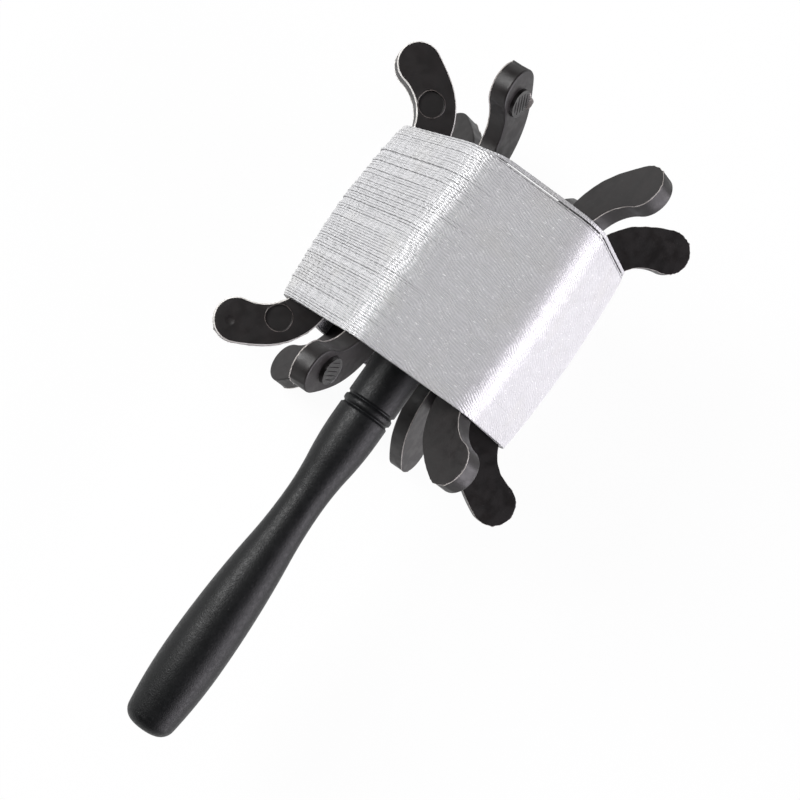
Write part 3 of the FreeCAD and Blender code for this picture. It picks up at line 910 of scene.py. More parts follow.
    def profile(self) -> list[tuple[float, float]]:
        """The edge's section from the marked face to the parting line.

        Returns:
            Inset and height of each of its rings.
        """
        half, soft = self.thickness / 2.0, self.soft_edge
        bends = [QUARTER * step / self.edge_steps for step in range(self.edge_steps + 1)]
        rings = [(soft * (1 - math.sin(t)), -half + soft * (1 - math.cos(t))) for t in bends]
        top = half - self.crisp_edge
        return rings + [(0.0, top - 2.0 * self.flash_height), (0.0, top - self.flash_height)]

    def slab(self) -> tuple[list[int], list[int]]:
        """Adds the plate's edge with its parting line.

        Returns:
            The numbers of the rings that bound the marked and the smooth face.
        """
        points = self.outline()
        ways = self.inward(points)
        gates = [self.gate(point) for point in points]
        half = self.thickness / 2.0
        edges = []
        for step, (inset, height) in enumerate(self.profile()):
            share = max(0.0, 1.0 - abs(height - half * self.gate_middle) / half)
            # On one plate the rounded part of the marked face's edge is painted pale: a painted
            # highlight.
            pale = self.number == self.edge_highlight_plate and 1 < step <= self.edge_steps
            insets = [inset - gate * self.gate_reach * share for gate in gates]
            edges.append((insets, height, 1 if pale else 0))
        nub = self.gate_reach * self.gate_lip
        lip = [
            -self.flash_reach * self.ragged(index, self.flash_share) - gate * nub
            for index, gate in enumerate(gates)
        ]
        edges += [
            (lip, half - self.crisp_edge - 0.5 * self.flash_height, 1),
            ([0.5 * inset + self.flash_root for inset in lip], half - self.flash_sink, 1),
            ([self.crisp_edge] * len(points), half, 0),
        ]
        rings = []
        for insets, height, _ in edges:
            made = []
            for point, way, inset in zip(points, ways, insets):
                x, r = point.x + way.x * inset, point.r + way.r * inset
                made.append(at(x, r, self.angle, height))
            rings.append(self.draft.ring(made))
        self.draft.chain(rings, [finish for *_, finish in edges])
        return rings[0], rings[-1]

    def on_face(self, spot: Plane, rise: float) -> Vector:
        """Point this many millimetres over the marked face."""
        return at(spot.x, spot.r, self.angle, -self.thickness / 2.0 - rise)

    def pin_mark(self, side: float) -> list[int]:
        """Adds one pin mark.

        Args:
            side: 1 for the right horn and -1 for the left one.

        Returns:
            The numbers of the ring that bounds the mark on the plate's face.
        """
        if self.marks is MarkPlace.THROAT:
            turn, gap = self.throat_mark
            spot = self.throat.moved(math.radians(turn), self.throat_radius + gap)
            centre = Plane(side * spot.x, spot.r)
            return self.mark_rings(centre, self.disc_radius, -self.disc_depth, side)
        x, r = self.tip_mark
        centre = Plane(side * (self.tip.x + x), self.tip.r + r)
        top = self.pad_height - side * self.pad_lean
        foot = self.mark_rings(centre, self.pin_radius, top, side)
        self.scores(centre, top, self.score_turn[0 if side < 0.0 else 1])
        if side > 0.0:
            self.burr(centre, top)
        return foot

    def mark_rings(self, centre: Plane, radius: float, level: float, side: float) -> list[int]:
        """Adds the slightly uneven rings of a pin mark and closes it.

        Args:
            centre: the mark's middle.
            radius: its radius.
            level: its height over the face, below 0 where it is sunk.
            side: 1 for the right horn and -1 for the left one.

        Returns:
            The numbers of the outermost ring.
        """
        seed = self.number * self.pin_seed + side
        steps = self.pad_rings if level > 0.0 else self.disc_rings
        rings = []
        for step in steps:
            made = []
            for turn in turns(self.pin_points):
                way = Vector((math.cos(turn), math.sin(turn), 0.0)) * self.pin_rate
                wobble = noise.noise(way + Vector((0.0, 0.0, seed)))
                moved = centre.moved(turn, (radius + step.reach) * (1.0 + self.pin_uneven * wobble))
                uneven = max(self.lip_least, self.lip_mean + self.lip_swing * wobble)
                lift = step.lift * self.lip_height * uneven
                made.append(self.on_face(moved, step.level * level + step.rise + lift))
            rings.append(self.draft.ring(made))
        self.draft.chain(rings, [step.finish for step in steps])
        self.draft.face(rings[-1], steps[-1].finish)
        return rings[0]

    def scores(self, centre: Plane, top: float, lean: float) -> None:
        """Adds the parallel scores of a pin's turned end on a pad as low round ridges.

        Args:
            centre: the pad's middle.
            top: the pad's height over the plate's face.
            lean: degrees from the axis to the scores.
        """
        reach = self.pin_radius - self.score_margin
        count = int(2.0 * reach / self.score_gap)
        way = math.radians(lean)
        for index in range(count):
            off = (index - (count - 1) / 2.0) * self.score_gap
            uneven = self.score_change * self.ragged(index, self.score_share)
            half = math.sqrt(reach**2 - off**2) * (self.score_least + uneven)
            middle = centre.moved(way + QUARTER, off)
            spots = [middle.moved(way, half * share) for share in self.score_shares]
            self.draft.tube([self.on_face(spot, top) for spot in spots], self.score_radii, 0)

    def burr(self, centre: Plane, top: float) -> None:
        """Adds the torn flap of plastic on a pad's inner edge, and a pale nick beside it.

        Args:
            centre: the pad's middle.
            top: the pad's height over the plate's face.
        """
        inner, outer = [], []
        start, end = self.burr_turns
        for index in range(self.burr_steps + 1):
            share = index / self.burr_steps
            turn = math.radians(start + (end - start) * share)
            rise = self.burr_height * math.sin(math.pi * share) ** self.burr_power
            rise *= self.burr_least + self.burr_change * self.ragged(index, self.burr_share)
            foot = centre.moved(turn, self.pin_radius - self.burr_inset)
            inner.append(self.on_face(foot, top - self.burr_root))
            outset = self.burr_outset + self.burr_lean * rise
            outer.append(self.on_face(centre.moved(turn, self.pin_radius + outset), top + rise))
        thin = sideways(self.angle) * self.burr_thickness * MM
        front = self.draft.ring(inner + outer[::-1])
        behind = self.draft.ring([point + thin for point in inner + outer[::-1]])
        for index in range(self.burr_steps):
            last = len(front) - 1 - index
            for ring in (front, behind):
                self.draft.face((ring[index], ring[index + 1], ring[last - 1], ring[last]), 1)
        self.draft.bridge(front, behind, 1)
        start, end = self.nick_turns
        nick = []
        for index in range(len(self.nick_radii)):
            turn = math.radians(start + (end - start) * index / (len(self.nick_radii) - 1))
            spot = centre.moved(turn, self.pin_radius - self.nick_offset)
            nick.append(self.on_face(spot, top + self.nick_offset))
        self.draft.tube(nick, self.nick_radii, 1)

    def dimple(self) -> list[int]:
        """Adds a shallow round dimple on the left tip.

        Returns:
            The numbers of the ring that bounds it on the face.
        """
        x, r = self.dimple_place
        centre = Plane(x - self.tip.x, r + self.tip.r)
        rings = []
        for radius, depth in self.dimple_rings:
            spots = [centre.moved(turn, radius) for turn in turns(self.dimple_points)]
            rings.append(self.draft.ring([self.on_face(spot, -depth) for spot in spots]))
        self.draft.chain(rings)
        self.draft.face(rings[-1])
        return rings[0]

    def tongues(self) -> None:
        """Adds the two dovetail tongues that sit in the hub's slots."""
        low = self.foot_radius - self.tongue_depth
        high = self.foot_radius + self.tongue_overlap
        base, neck = self.tongue_base / 2.0, self.tongue_neck / 2.0
        section = ((low, -base), (low, base), (high, neck), (high, -neck))
        for side in (-1.0, 1.0):
            rings = []
            for x in (side * self.leg_inner_x, side * self.leg_outer_x):
                rings.append(self.draft.ring([at(x, r, self.angle, v) for r, v in section]))
            self.draft.solid(rings)

    def build(self) -> None:
        """Makes the whole plate as one piece on the reel."""
        marked, smooth = self.slab()
        holes = [self.pin_mark(side) for side in (-1.0, 1.0)]
        if self.number == self.dimpled:
            holes.append(self.dimple())
        self.draft.fill([marked, *holes])
        self.draft.fill([smooth])
        self.tongues()
        name = f"horn_plate_{self.number}"
        # One plate's edge and parting line wear the painted highlight.
        flash_and_edge_highlight = EDGE_HIGHLIGHT_ABS if self.number == self.edge_highlight_plate else FLASH_ABS
        finishes = [PLATE_ABS, flash_and_edge_highlight, PIN_MARK_ABS, PIN_LIP_ABS]
        place(self.draft.build(f"moulded_{name}", finishes), Body.REEL, Slot.PLATE, name)


@dataclass
class Grip:
    """The turned grip, moulded in black polypropylene with a spark-eroded grain."""

    nose_x: float = -22.0
    nose_radius: float = 4.6
    nose_edge: float = 0.2
    bore_radius: float = 3.02
    bore_end_x: float = -75.1
    barrel_x: float = -24.6
    barrel_radius: float = 7.55
    barrel_edge: float = 0.45
    groove_x: tuple[float, float] = (-41.0, -43.7)
    groove_half: float = 0.5
    groove_depth: float = 0.6
    groove_power: float = 1.3
    groove_shares: tuple[float, ...] = (
        -1.35, -1.1, -0.85, -0.6, -0.3, 0.0, 0.3, 0.6, 0.85, 1.1, 1.35
    )
    groove_land: float = 1.2
    bead_rise: float = 0.08
    shoulder_x: float = -48.0
    waist_x: float = -73.0
    waist_radius: float = 5.82
    swell_x: float = -124.0
    swell_radius: float = 8.7
    butt_x: float = -148.0
    butt_radius: float = 3.2
    front_bend: float = 85.0
    rear_bend: float = 144.0
    heel_bend: float = 150.0
    step: float = 1.0
    barrel_step: float = 1.5
    edge_step: float = 0.15
    butt_step: float = 0.4
    segments: int = 128

    def hollow_and_swell(self, low: Plane, high: Plane, bend: float) -> list[Plane]:
        """Two tangent arcs from a waist to a fuller place, each level at its own end.

        Args:
            low: the waist.
            high: the fuller place.
            bend: radius of the hollow arc.

        Returns:
            Their points from the waist on.
        """
        total = (low.distance(high) ** 2) / (2.0 * (high.r - low.r))
        hollow = Plane(low.x, low.r + bend)
        swell = Plane(high.x, high.r - (total - bend))
        lean = hollow.towards(swell)
        if lean > 0.0:
            lean -= 2.0 * math.pi
        points = arc(hollow, bend, -QUARTER, lean, self.step)
        return points + arc(swell, total - bend, lean + math.pi, QUARTER, self.step)

    def heel(self, swell: Plane) -> list[Plane]:
        """The long heel arc and the round edge that meets the flat butt.

        Args:
            swell: the fullest place of the palm.

        Returns:
            Its points from there to the butt's flat.
        """
        centre = Plane(swell.x, swell.r - self.heel_bend)
        along = swell.x - self.butt_x
        rise = self.butt_radius - centre.r
        edge = (self.heel_bend**2 - along**2 - rise**2) / (2.0 * (self.heel_bend - along))
        corner = Plane(self.butt_x + edge, self.butt_radius)
        lean = centre.towards(corner)
        points = arc(centre, self.heel_bend, QUARTER, lean, self.step)
        points += arc(corner, edge, lean, math.pi, self.butt_step)
        return points + [Plane(self.butt_x, self.butt_radius)]

    def groove(self, middle: float) -> list[Plane]:
        """A round-bottomed groove with softened lips.

        Args:
            middle: its place along the axis.

        Returns:
            Its points from lip to lip.
        """
        points = []
        for share in self.groove_shares:
            lean = share * QUARTER / self.groove_shares[-1]
            depth = self.groove_depth * max(0.0, math.cos(lean)) ** self.groove_power
            x = middle - share * self.groove_half
            points.append(Plane(x, self.barrel_radius - depth))
        return points

    def profile(self) -> list[Plane]:
        """Half profile of the grip.

        Returns:
            Its points from the bore's end round the nose and the butt back to the axis.
        """
        barrel, nose, bore = self.barrel_radius, self.nose_radius, self.bore_radius
        first, second = self.groove_x
        edge = Plane(self.barrel_x - self.barrel_edge, barrel - self.barrel_edge)
        shoulder = Plane(self.shoulder_x, barrel)
        waist = Plane(self.waist_x, self.waist_radius)
        swell = Plane(self.swell_x, self.swell_radius)
        return [
            Plane(self.bore_end_x, 0.0),
            Plane(self.bore_end_x, bore),
            Plane(self.nose_x, bore),
            Plane(self.nose_x, nose - self.nose_edge),
            Plane(self.nose_x - self.nose_edge, nose),
            Plane(self.barrel_x, nose),
            *arc(edge, self.barrel_edge, 0.0, QUARTER, self.edge_step),
            *run(Plane(edge.x, barrel), Plane(first + self.groove_land, barrel), self.barrel_step),
            *self.groove(first),
            Plane((first + second) / 2.0, barrel + self.bead_rise),
            *self.groove(second),
            *run(Plane(second - self.groove_land, barrel), shoulder, self.step),
            *self.hollow_and_swell(waist, shoulder, self.front_bend)[::-1],
            *self.hollow_and_swell(waist, swell, self.rear_bend)[1:],
            *self.heel(swell),
            Plane(self.butt_x, 0.0),
        ]

    def build(self) -> None:
        """Makes the grip as one lathe-turned piece on the handle."""
        draft = Draft()
        rings = []
        for point in self.profile():
            count = self.segments if point.r else 1
            made = [at(point.x, point.r, 360.0 * index / count) for index in range(count)]
            rings.append(draft.ring(made))
        draft.chain(rings[1:-1])
        for (centre,), rim in ((rings[0], rings[1]), (rings[-1], rings[-2])):
            for index, number in enumerate(rim):
                draft.face((centre, number, rim[(index + 1) % len(rim)]))
        piece = draft.build("turned_handle_grip", [GRIP_PP], 50.0)
        place(piece, Body.HANDLE, Slot.GRIP, "handle_grip")


# Point of a strand, direction away from the axis, and half its width and height in millimetres.
Station = tuple[Vector, Vector, float, float]


@dataclass
class LinePackage:
    """The package of white line: fine turns over a rounded hexagon that bulges in the middle.

    Tuples with six values give one for each plate in turn. A place round the turn is counted
    in points from the first edge of the first plate's corner.
    """

    wound: int = 78
    strand: float = 1.1
    flatness: float = 0.09
    sides: int = 8
    near_edge: tuple[float, ...] = (-29.3, -30.5, -30.7, -30.0, -30.4, -30.0)
    far_edge: tuple[float, ...] = (29.3, 28.6, 28.3, 27.3, 27.9, 28.5)
    corner: float = 12.0
    corner_points: int = 7
    flat_points: int = 11
    tops: tuple[float, ...] = (38.9, 38.4, 38.4, 39.6, 38.7, 38.3)
    fall: tuple[float, ...] = (1.3, 1.4, 1.4, 1.9, 1.5, 1.3)
    edge_fall: tuple[float, ...] = (0.4, 0.4, 0.5, 1.0, 0.8, 0.4)
    fall_power: float = 1.6
    edge_power: float = 14.0
    half_length: float = 30.0
    # How far a strand strays along the axis and rides up, and how fast that changes by turn.
    sway: float = 0.12
    sway_rates: tuple[float, float] = (0.83, 6.1)
    slow_rates: tuple[float, float] = (0.11, 0.8)
    slow_share: float = 0.3
    tight_share: float = 0.35
    ride: float = 0.02
    ride_mean: float = 0.2
    ride_rates: tuple[float, float] = (1.7, 2.3)
    # One face of the package is wound loosely, with rounder strands that ride up and down.
    loose_angle: float = 158.0
    loose_ride: float = 0.6
    loose_rates: tuple[float, float] = (1.37, 0.61)
    loose_limits: tuple[float, float] = (-0.4, 0.5)
    loose_power: int = 4
    loose_half: float = 0.38
    loose_fullness: float = 0.85
    loose_spread: float = 42.0
    # The two stretches of the last turn that slipped past the far edge.
    stray_gap: tuple[float, float] = (0.66, 1.08)
    stray_half: float = 0.36
    stray_flatness: float = 0.6
    stray_sink: float = 0.3
    stray_dive: float = 0.25
    stray_sway: float = 0.07
    # Where they start and end in plates, how soon they come out and dive again, and how far
    # under the package their ends lie in strands.
    stray_plates: tuple[float, float] = (-0.9, 2.0)
    stray_ease: tuple[float, float] = (5.0, 7.0)
    stray_under: tuple[float, float] = (0.6, 1.0)
    seat_radius: float = 34.6
    plate_half: float = 2.6
    # Inner turns that show at the ends and along the bore.
    layers: int = 9
    layer_half: float = 0.27
    layer_inset: float = 0.08
    layer_stagger: float = 0.12
    layer_sway: float = 0.1
    layer_sink: float = 0.012
    bore_turns: int = 7
    bore_gap: float = 2.4
    bore_depth: float = 0.97
    core_stations: int = 41
    core_sink: float = 0.33
    core_inset: float = 0.5

    @property
    def per_side(self) -> int:
        """Points from one plate to the next."""
        return self.corner_points + self.flat_points

    @property
    def per_turn(self) -> int:
        """Points of one whole turn."""
        return PLATE_COUNT * self.per_side

    @property
    def pitch(self) -> float:
        """Millimetres from one turn to the next."""
        return (self.far_edge[2] - self.near_edge[2] - self.strand) / self.wound

    def plates_round(self, index: float) -> float:
        """Place round the turn in plates, 0 on the middle of the first plate's corner."""
        return (index - self.corner_points / 2.0) % self.per_turn / self.per_side

    def along(self, index: float, share: float, inset: float) -> float:
        """Place along the axis.

        Args:
            index: place round the turn.
            share: share of the package's length from its near edge.
            inset: millimetres that are left free at both edges.

        Returns:
            Millimetres from the middle of the reel.
        """
        plate, part = divmod(self.plates_round(index), 1.0)
        here, there = int(plate), (int(plate) + 1) % PLATE_COUNT
        near, far = [
            edge[here] + (edge[there] - edge[here]) * eased(part)
            for edge in (self.near_edge, self.far_edge)
        ]
        return near + inset + (far - near - 2.0 * inset) * share

    def top(self, x: float, plate: int) -> float:
        """Outer radius of the package over a plate, which falls towards both ends.

        Args:
            x: millimetres along the axis.
            plate: the plate's number from 0, or 6 for the first one again.

        Returns:
            The radius in millimetres.
        """
        plate = plate % PLATE_COUNT
        middle = (self.near_edge[plate] + self.far_edge[plate]) / 2.0
        share = min(1.0, abs(x - middle) / self.half_length)
        fall = self.fall[plate] * share**self.fall_power
        return self.tops[plate] - fall - self.edge_fall[plate] * share**self.edge_power

    def spot(self, x: float, index: float, sink: float) -> tuple[Vector, Vector]:
        """Point of a turn and the direction away from the axis there.

        Args:
            x: millimetres along the axis.
            index: place round the turn.
            sink: millimetres under the package's outer surface.

        Returns:
            The point in metres and the outward direction.
        """
        plate, inside = divmod(index % self.per_turn, self.per_side)
        plate = int(plate)
        angle = plate * PLATE_STEP
        bend = self.corner - sink
        here = self.top(x, plate) - self.corner
        if inside <= self.corner_points:
            turn = -HALF_STEP + 2.0 * HALF_STEP * inside / self.corner_points
            away = outward(angle) * math.cos(turn) + sideways(angle) * math.sin(turn)
            return at(x, here + bend * math.cos(turn), angle, bend * math.sin(turn)), away
        share = (inside - self.corner_points) / self.flat_points
        there = self.top(x, plate + 1) - self.corner
        reach, side = bend * math.cos(HALF_STEP), bend * math.sin(HALF_STEP)
        start = at(x, here + reach, angle, side)
        end = at(x, there + reach, angle + PLATE_STEP, -side)
        return start.lerp(end, share), outward(angle + PLATE_STEP / 2.0)

    def bore_point(self, x: float, index: int) -> Vector:
        """Point of the hexagonal bore that rests on the plates' seats.

        Args:
            x: millimetres along the axis.
            index: place round the turn.

        Returns:
            The point in metres.
        """
        plate, inside = divmod(index, self.per_side)
        angle, seat, half = plate * PLATE_STEP, self.seat_radius, self.plate_half
        if inside <= self.corner_points:
            return at(x, seat, angle, half * (2.0 * inside / self.corner_points - 1.0))
        share = (inside - self.corner_points) / self.flat_points
        return at(x, seat, angle, half).lerp(at(x, seat, angle + PLATE_STEP, -half), share)

    def strand_mesh(self, draft: Draft, path: list[Station], closed: bool = False) -> None:
        """Adds a strand along a path, pressed flat by its pull, with the map of its twist.

        Args:
            draft: the mesh that gets the strand.
            path: its stations.
            closed: whether its two ends meet.
        """
        rings = []
        off = [math.sin(t) * self.strand / 2.0 / self.pitch for t in (*turns(self.sides), 0.0)]
        count = len(path)
        for index, (point, away, wide, high) in enumerate(path):
            after = path[(index + 1) % count][0] if closed or index + 1 < count else point
            before = path[index - 1][0] if closed or index else point
            along = (after - before).normalized()
            across = along.cross(away).normalized() * wide * MM
            up = across.cross(along).normalized() * high * MM
            made = [point + up * math.cos(t) + across * math.sin(t) for t in turns(self.sides)]
            rings.append(draft.ring(made))
        pairs = list(zip(rings, rings[1:] + rings[:1] if closed else rings[1:]))
        for index, (near, far) in enumerate(pairs):
            start, end = index / self.per_turn, (index + 1) / self.per_turn
            for side, (left, right) in enumerate(zip(off, off[1:])):
                after = (side + 1) % self.sides
                draft.face((near[side], near[after], far[after], far[side]))
                draft.maps += [(start, left), (start, right), (end, right), (end, left)]
        if not closed:
            for numbers in (rings[0], rings[-1][::-1]):
                draft.face(numbers)
                draft.maps += [(0.0, 0.0)] * self.sides

    def looseness(self, index: float) -> float:
        """How loosely the turns lie at a place round the turn, 1 where loosest."""
        degrees = self.plates_round(index) * PLATE_STEP - self.loose_angle
        return math.exp(-((degrees / self.loose_spread) ** self.loose_power))

    def upright(self, x: float, index: int, away: Vector) -> Vector:
        """The outward direction tipped square to the package's slope along the axis."""
        slope = self.spot(x + 0.5, index, 0.0)[0] - self.spot(x - 0.5, index, 0.0)[0]
        return (away - slope * (away.dot(slope) / slope.dot(slope))).normalized()

    def drift(self, rates: tuple[float, float], places: tuple[float, float], seed: float) -> float:
        """Steady noise at two places, each taken at its own rate."""
        return noise.noise(Vector((places[0] * rates[0], places[1] * rates[1], seed)))

    def outer_path(self) -> list[Station]:
        """The one unbroken strand of the outer layer.

        Returns:
            Its stations from the near edge to the far one.
        """
        half = self.strand / 2.0
        path = []
        total = self.wound * self.per_turn
        for index in range(total + 1):
            turn = index / self.per_turn
            stray = self.drift(self.sway_rates, (turn, turn), 0.0)
            slow = self.drift(self.slow_rates, (turn, math.sin(turn * 2.0 * math.pi)), 4.0)
            loose = self.looseness(index)
            x = self.along(index, index / total, half)
            free = self.tight_share + (1.0 - self.tight_share) * loose
            x += self.sway * (stray + self.slow_share * slow) * free
            rise = self.ride * (self.drift(self.ride_rates, (turn, turn), 9.0) + self.ride_mean)
            lowest, highest = self.loose_limits
            rough = self.drift(self.loose_rates, (turn, turn), 21.0)
            rise += self.loose_ride * loose * min(highest, max(lowest, rough))
            wide = half + (self.loose_half - half) * loose
            high = half * self.flatness
            high += (self.loose_half * self.loose_fullness - high) * loose
            point, away = self.spot(x, index, high - rise)
            path.append((point, self.upright(x, index, away), wide, high))
        return path

    def loop(self, far: bool, inset: float, depth: float) -> list[Station]:
        """One closed inner turn, where the layers show near an end of the package.

        Args:
            far: whether it lies near the far end.
            inset: millimetres from that end to its middle.
            depth: its place under the surface, 0 at the surface and 1 on the plates.

        Returns:
            Its stations.
        """
        path = []
        half = self.layer_half
        seed = 11.0 * depth + inset + 20.0 * far
        for index, turn in enumerate(turns(self.per_turn)):
            sway = noise.noise(Vector((math.cos(turn), math.sin(turn), seed)))
            x = self.along(index, float(far), inset) + self.layer_sway * sway
            outer, away = self.spot(x, index, 0.0)
            point = outer.lerp(self.bore_point(x, index), depth + self.layer_sink * sway)
            path.append((point, away, half, half))
        return path

    def inner_turns(self) -> list[tuple[float, float]]:
        """The inner turns that show at each end and along the bore.

        Returns:
            Their insets and depths.
        """
        first = self.layer_half + self.layer_inset
        ends = [
            (first + self.layer_stagger * (layer % 2), (layer + 1.0) / (self.layers + 0.6))
            for layer in range(self.layers)
        ]
        gap = self.bore_gap * self.layer_half
        return ends + [(first + gap * turn, self.bore_depth) for turn in range(1, self.bore_turns)]

    def stray_path(self, number: int) -> list[Station]:
        """A slack stretch of the last turn that slipped past the far edge.

        Args:
            number: 0 for the nearer stretch and 1 for the farther one.

        Returns:
            Its stations from under the package, over the plates at 0, 60 and 120 degrees, and
            back under it.
        """
        first = self.stray_plates[0] * self.per_side
        last = self.stray_plates[1] * self.per_side + self.corner_points
        out, back = self.stray_ease
        start = -self.strand * self.stray_under[number]
        count = int(last - first) * 2
        path = []
        for step in range(count + 1):
            share = step / count
            index = first + (last - first) * share
            spread = eased(min(1.0, out * share, back * (1.0 - share)))
            x = self.along(index, 1.0, 0.0) + start + (self.stray_gap[number] - start) * spread
            x += self.stray_sway * noise.noise(Vector((share * 7.0, 2.0 + number, 5.0)))
            spot = self.spot(x, index, self.stray_sink + self.stray_dive * (1.0 - spread))
            path.append((*spot, self.stray_half, self.stray_half * self.stray_flatness))
        return path

    def core(self) -> Draft:
        """The layers under the outer turns as one barrel with a hexagonal bore.

        Returns:
            Its mesh.
        """
        draft = Draft()
        chain = []
        last = self.core_stations - 1
        # The first and the last ring bound the bore.
        for step in range(-1, last + 2):
            made = []
            for index in range(self.per_turn):
                x = self.along(index, min(1.0, max(0.0, step / last)), self.core_inset)
                outer = self.spot(x, index, self.core_sink)[0]
                made.append(outer if 0 <= step <= last else self.bore_point(x, index))
            chain.append(draft.ring(made))
        draft.chain(chain + chain[:1])
        draft.maps = [(0.0, 0.0)] * sum(len(numbers) for numbers in draft.faces)
        return draft

    def build(self) -> None:
        """Makes the outer turns, the turns at the ends and the core, all on the reel."""
        outer, ends = Draft(), Draft()
        self.strand_mesh(outer, self.outer_path())
        for inset, depth in self.inner_turns():
            for far in (False, True):
                self.strand_mesh(ends, self.loop(far, inset, depth), True)
        for number in range(len(self.stray_gap)):
            self.strand_mesh(ends, self.stray_path(number))
        for name, draft, *nodes in (
            ("line_outer_turns", outer, "line_turns"),
            ("line_end_layers", ends),
            ("line_under_layers", self.core(), "line_core"),
        ):
            place(draft.build(name, [WHITE_LINE]), Body.REEL, Slot.LINE, *nodes)


@dataclass
class CapScrews:
    """The pan-headed screws of one hub cap, each with a cross recess."""

    far: bool
    count: int = 3
    circle: float = 9.8
    first: float = 30.0
    seat_x: float = 23.9
    length: float = 9.0
    shank: float = 1.25
    point: float = 0.35
    taper: float = 0.8
    head: float = 2.3
    height: float = 1.5
    rim: float = 0.5
    rim_edge: float = 0.12
    flat: float = 1.35
    dome_steps: int = 6
    cross_reach: float = 1.05
    cross_half: float = 0.24
    cross_depth: float = 0.8
    cross_taper: float = 0.72
    cross_turn: tuple[float, float] = (17.0, 41.0)
    segments: int = 40

    def stations(self) -> list[tuple[float, float]]:
        """The screw's half profile.

        Returns:
            Place along the screw and radius, from its tip to the flat top of its head.
        """
        steps = [(-self.length, self.point), (-self.length + self.taper, self.shank)]
        steps += [(0.0, self.shank), (0.0, self.head - self.rim_edge), (self.rim_edge, self.head)]
        for index in range(self.dome_steps + 1):
            turn = QUARTER * index / self.dome_steps
            radius = self.flat + (self.head - self.flat) * math.cos(turn)
            steps.append((self.rim + (self.height - self.rim) * math.sin(turn), radius))
        return steps

    def cross(self, share: float, lean: float) -> list[tuple[float, float]]:
        """Outline of the cross recess.

        Args:
            share: its share of its full size.
            lean: how far it is turned, in radians.

        Returns:
            Its points across the screw.
        """
        reach, half = self.cross_reach * share, self.cross_half * share
        points = []
        for arm in range(4):
            sine, cosine = math.sin(lean - arm * QUARTER), math.cos(lean - arm * QUARTER)
            for u, v in ((half, half), (reach, half), (reach, -half)):
                points.append((u * cosine - v * sine, u * sine + v * cosine))
        return points

    def build(self) -> None:
        """Makes the screws as one piece on the reel."""
        draft = Draft()
        way = 1.0 if self.far else -1.0
        start, step = self.cross_turn
        for number in range(self.count):
            angle = self.first + 360.0 * number / self.count
            lean = math.radians(start + step * number)
            sections = [
                (along, [(radius * math.cos(t), radius * math.sin(t)) for t in turns(self.segments)])
                for along, radius in self.stations()
            ]
            sections.append((self.height, self.cross(1.0, lean)))
            sections.append((self.height - self.cross_depth, self.cross(self.cross_taper, lean)))
            rings = []
            for along, points in sections:
                x = way * (self.seat_x + along)
                rings.append(draft.ring([at(x, self.circle + u, angle, v) for u, v in points]))
            *turned, mouth, bottom = rings
            draft.chain(turned)
            draft.face(turned[0])
            draft.fill([turned[-1], mouth])
            draft.bridge(mouth, bottom)
            draft.fill([bottom])
        node = "front_cap_screws" if self.far else "rear_cap_screws"
        place(draft.build(f"pan_head_{node}", [SCREW_ZINC]), Body.REEL, Slot.SCREW, node)


@dataclass
class LockNut:
    """The self-locking nut: a chamfered hexagon, and a collar rolled over a nylon ring."""

    start_x: float = 25.3
    hexagon: float = 4.6
    collar: float = 1.4
    across_flats: float = 10.0
    collar_radius: float = 4.5
    ring_radius: float = 3.95
    bore: float = 3.02
    chamfer: float = 0.45
    face_edge: float = 0.15
    segments: int = 96

    def stations(self) -> list[tuple[float, float, int]]:
        """The nut's half profile.

        Returns:
            Place along the nut, largest radius there and finish of the faces before it.
        """
        face = self.across_flats / 2.0 - self.face_edge
        corner = self.across_flats / math.sqrt(3.0)
        top = self.hexagon + self.collar
        return [
            (0.0, self.bore, 0),
            (0.0, face, 0),
            (self.chamfer, corner, 0),
            (self.hexagon - self.chamfer, corner, 0),
            (self.hexagon, face, 0),
            (self.hexagon + 0.02, self.collar_radius + 0.1, 0),
            (self.hexagon + 0.15, self.collar_radius, 0),
            (top - 0.4, self.collar_radius, 0),
            (top - 0.12, self.collar_radius - 0.12, 0),
            (top, self.collar_radius - 0.35, 0),
            (top - 0.05, self.ring_radius, 0),
            (top - 0.22, self.ring_radius - 0.08, 1),
            (top - 0.22, self.bore + 0.2, 1),
            (top - 0.4, self.bore, 1),
        ]

    def build(self) -> None:
        """Makes the nut as one piece on the handle."""
        draft = Draft()
        rings, finishes = [], []
        for along, limit, finish in self.stations():
            made = []
            for index in range(self.segments):
                turn = 360.0 * index / self.segments
                off = math.radians((turn + PLATE_STEP / 2.0) % PLATE_STEP - PLATE_STEP / 2.0)
                radius = min(limit, self.across_flats / 2.0 / math.cos(off))
                made.append(at(self.start_x + along, radius, turn))
            rings.append(draft.ring(made))
            finishes.append(finish)
        draft.chain(rings + rings[:1], [*finishes, 0])
        piece = draft.build("nylon_ring_lock_nut", [SPINDLE_STEEL, BUSH_NYLON], 30.0)
        place(piece, Body.HANDLE, Slot.SPINDLE, "lock_nut")


@dataclass
class Fittings:
    """The CAD nodes that keep their shape and get their finish here."""

    moulded: tuple[str, ...] = ("hub_core", "front_hub_cap", "rear_hub_cap")
    nylon: tuple[str, ...] = (
        "front_bush", "rear_bush", "front_thrust_washer", "rear_thrust_washer"
    )
    ground: tuple[str, ...] = ("spindle",)

    def dress(self) -> None:
        """Gives each node its material."""
        groups = ((self.moulded, HUB_ABS), (self.nylon, BUSH_NYLON), (self.ground, SPINDLE_STEEL))
        for name, finish in [(name, finish) for names, finish in groups for name in names]:
            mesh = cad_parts[name].data
            mesh.materials.clear()
            mesh.materials.append(Paint.of(finish))
            LOG.info("%s: %s", name, finish.name)


@dataclass(frozen=True)
class Lamp:
    """A soft square lamp: its directions in degrees, distance and side in metres, and watts."""

    name: str
    angle: float
    lean: float
    distance: float
    size: float
    power: float
    colour: str = "#ffffff"


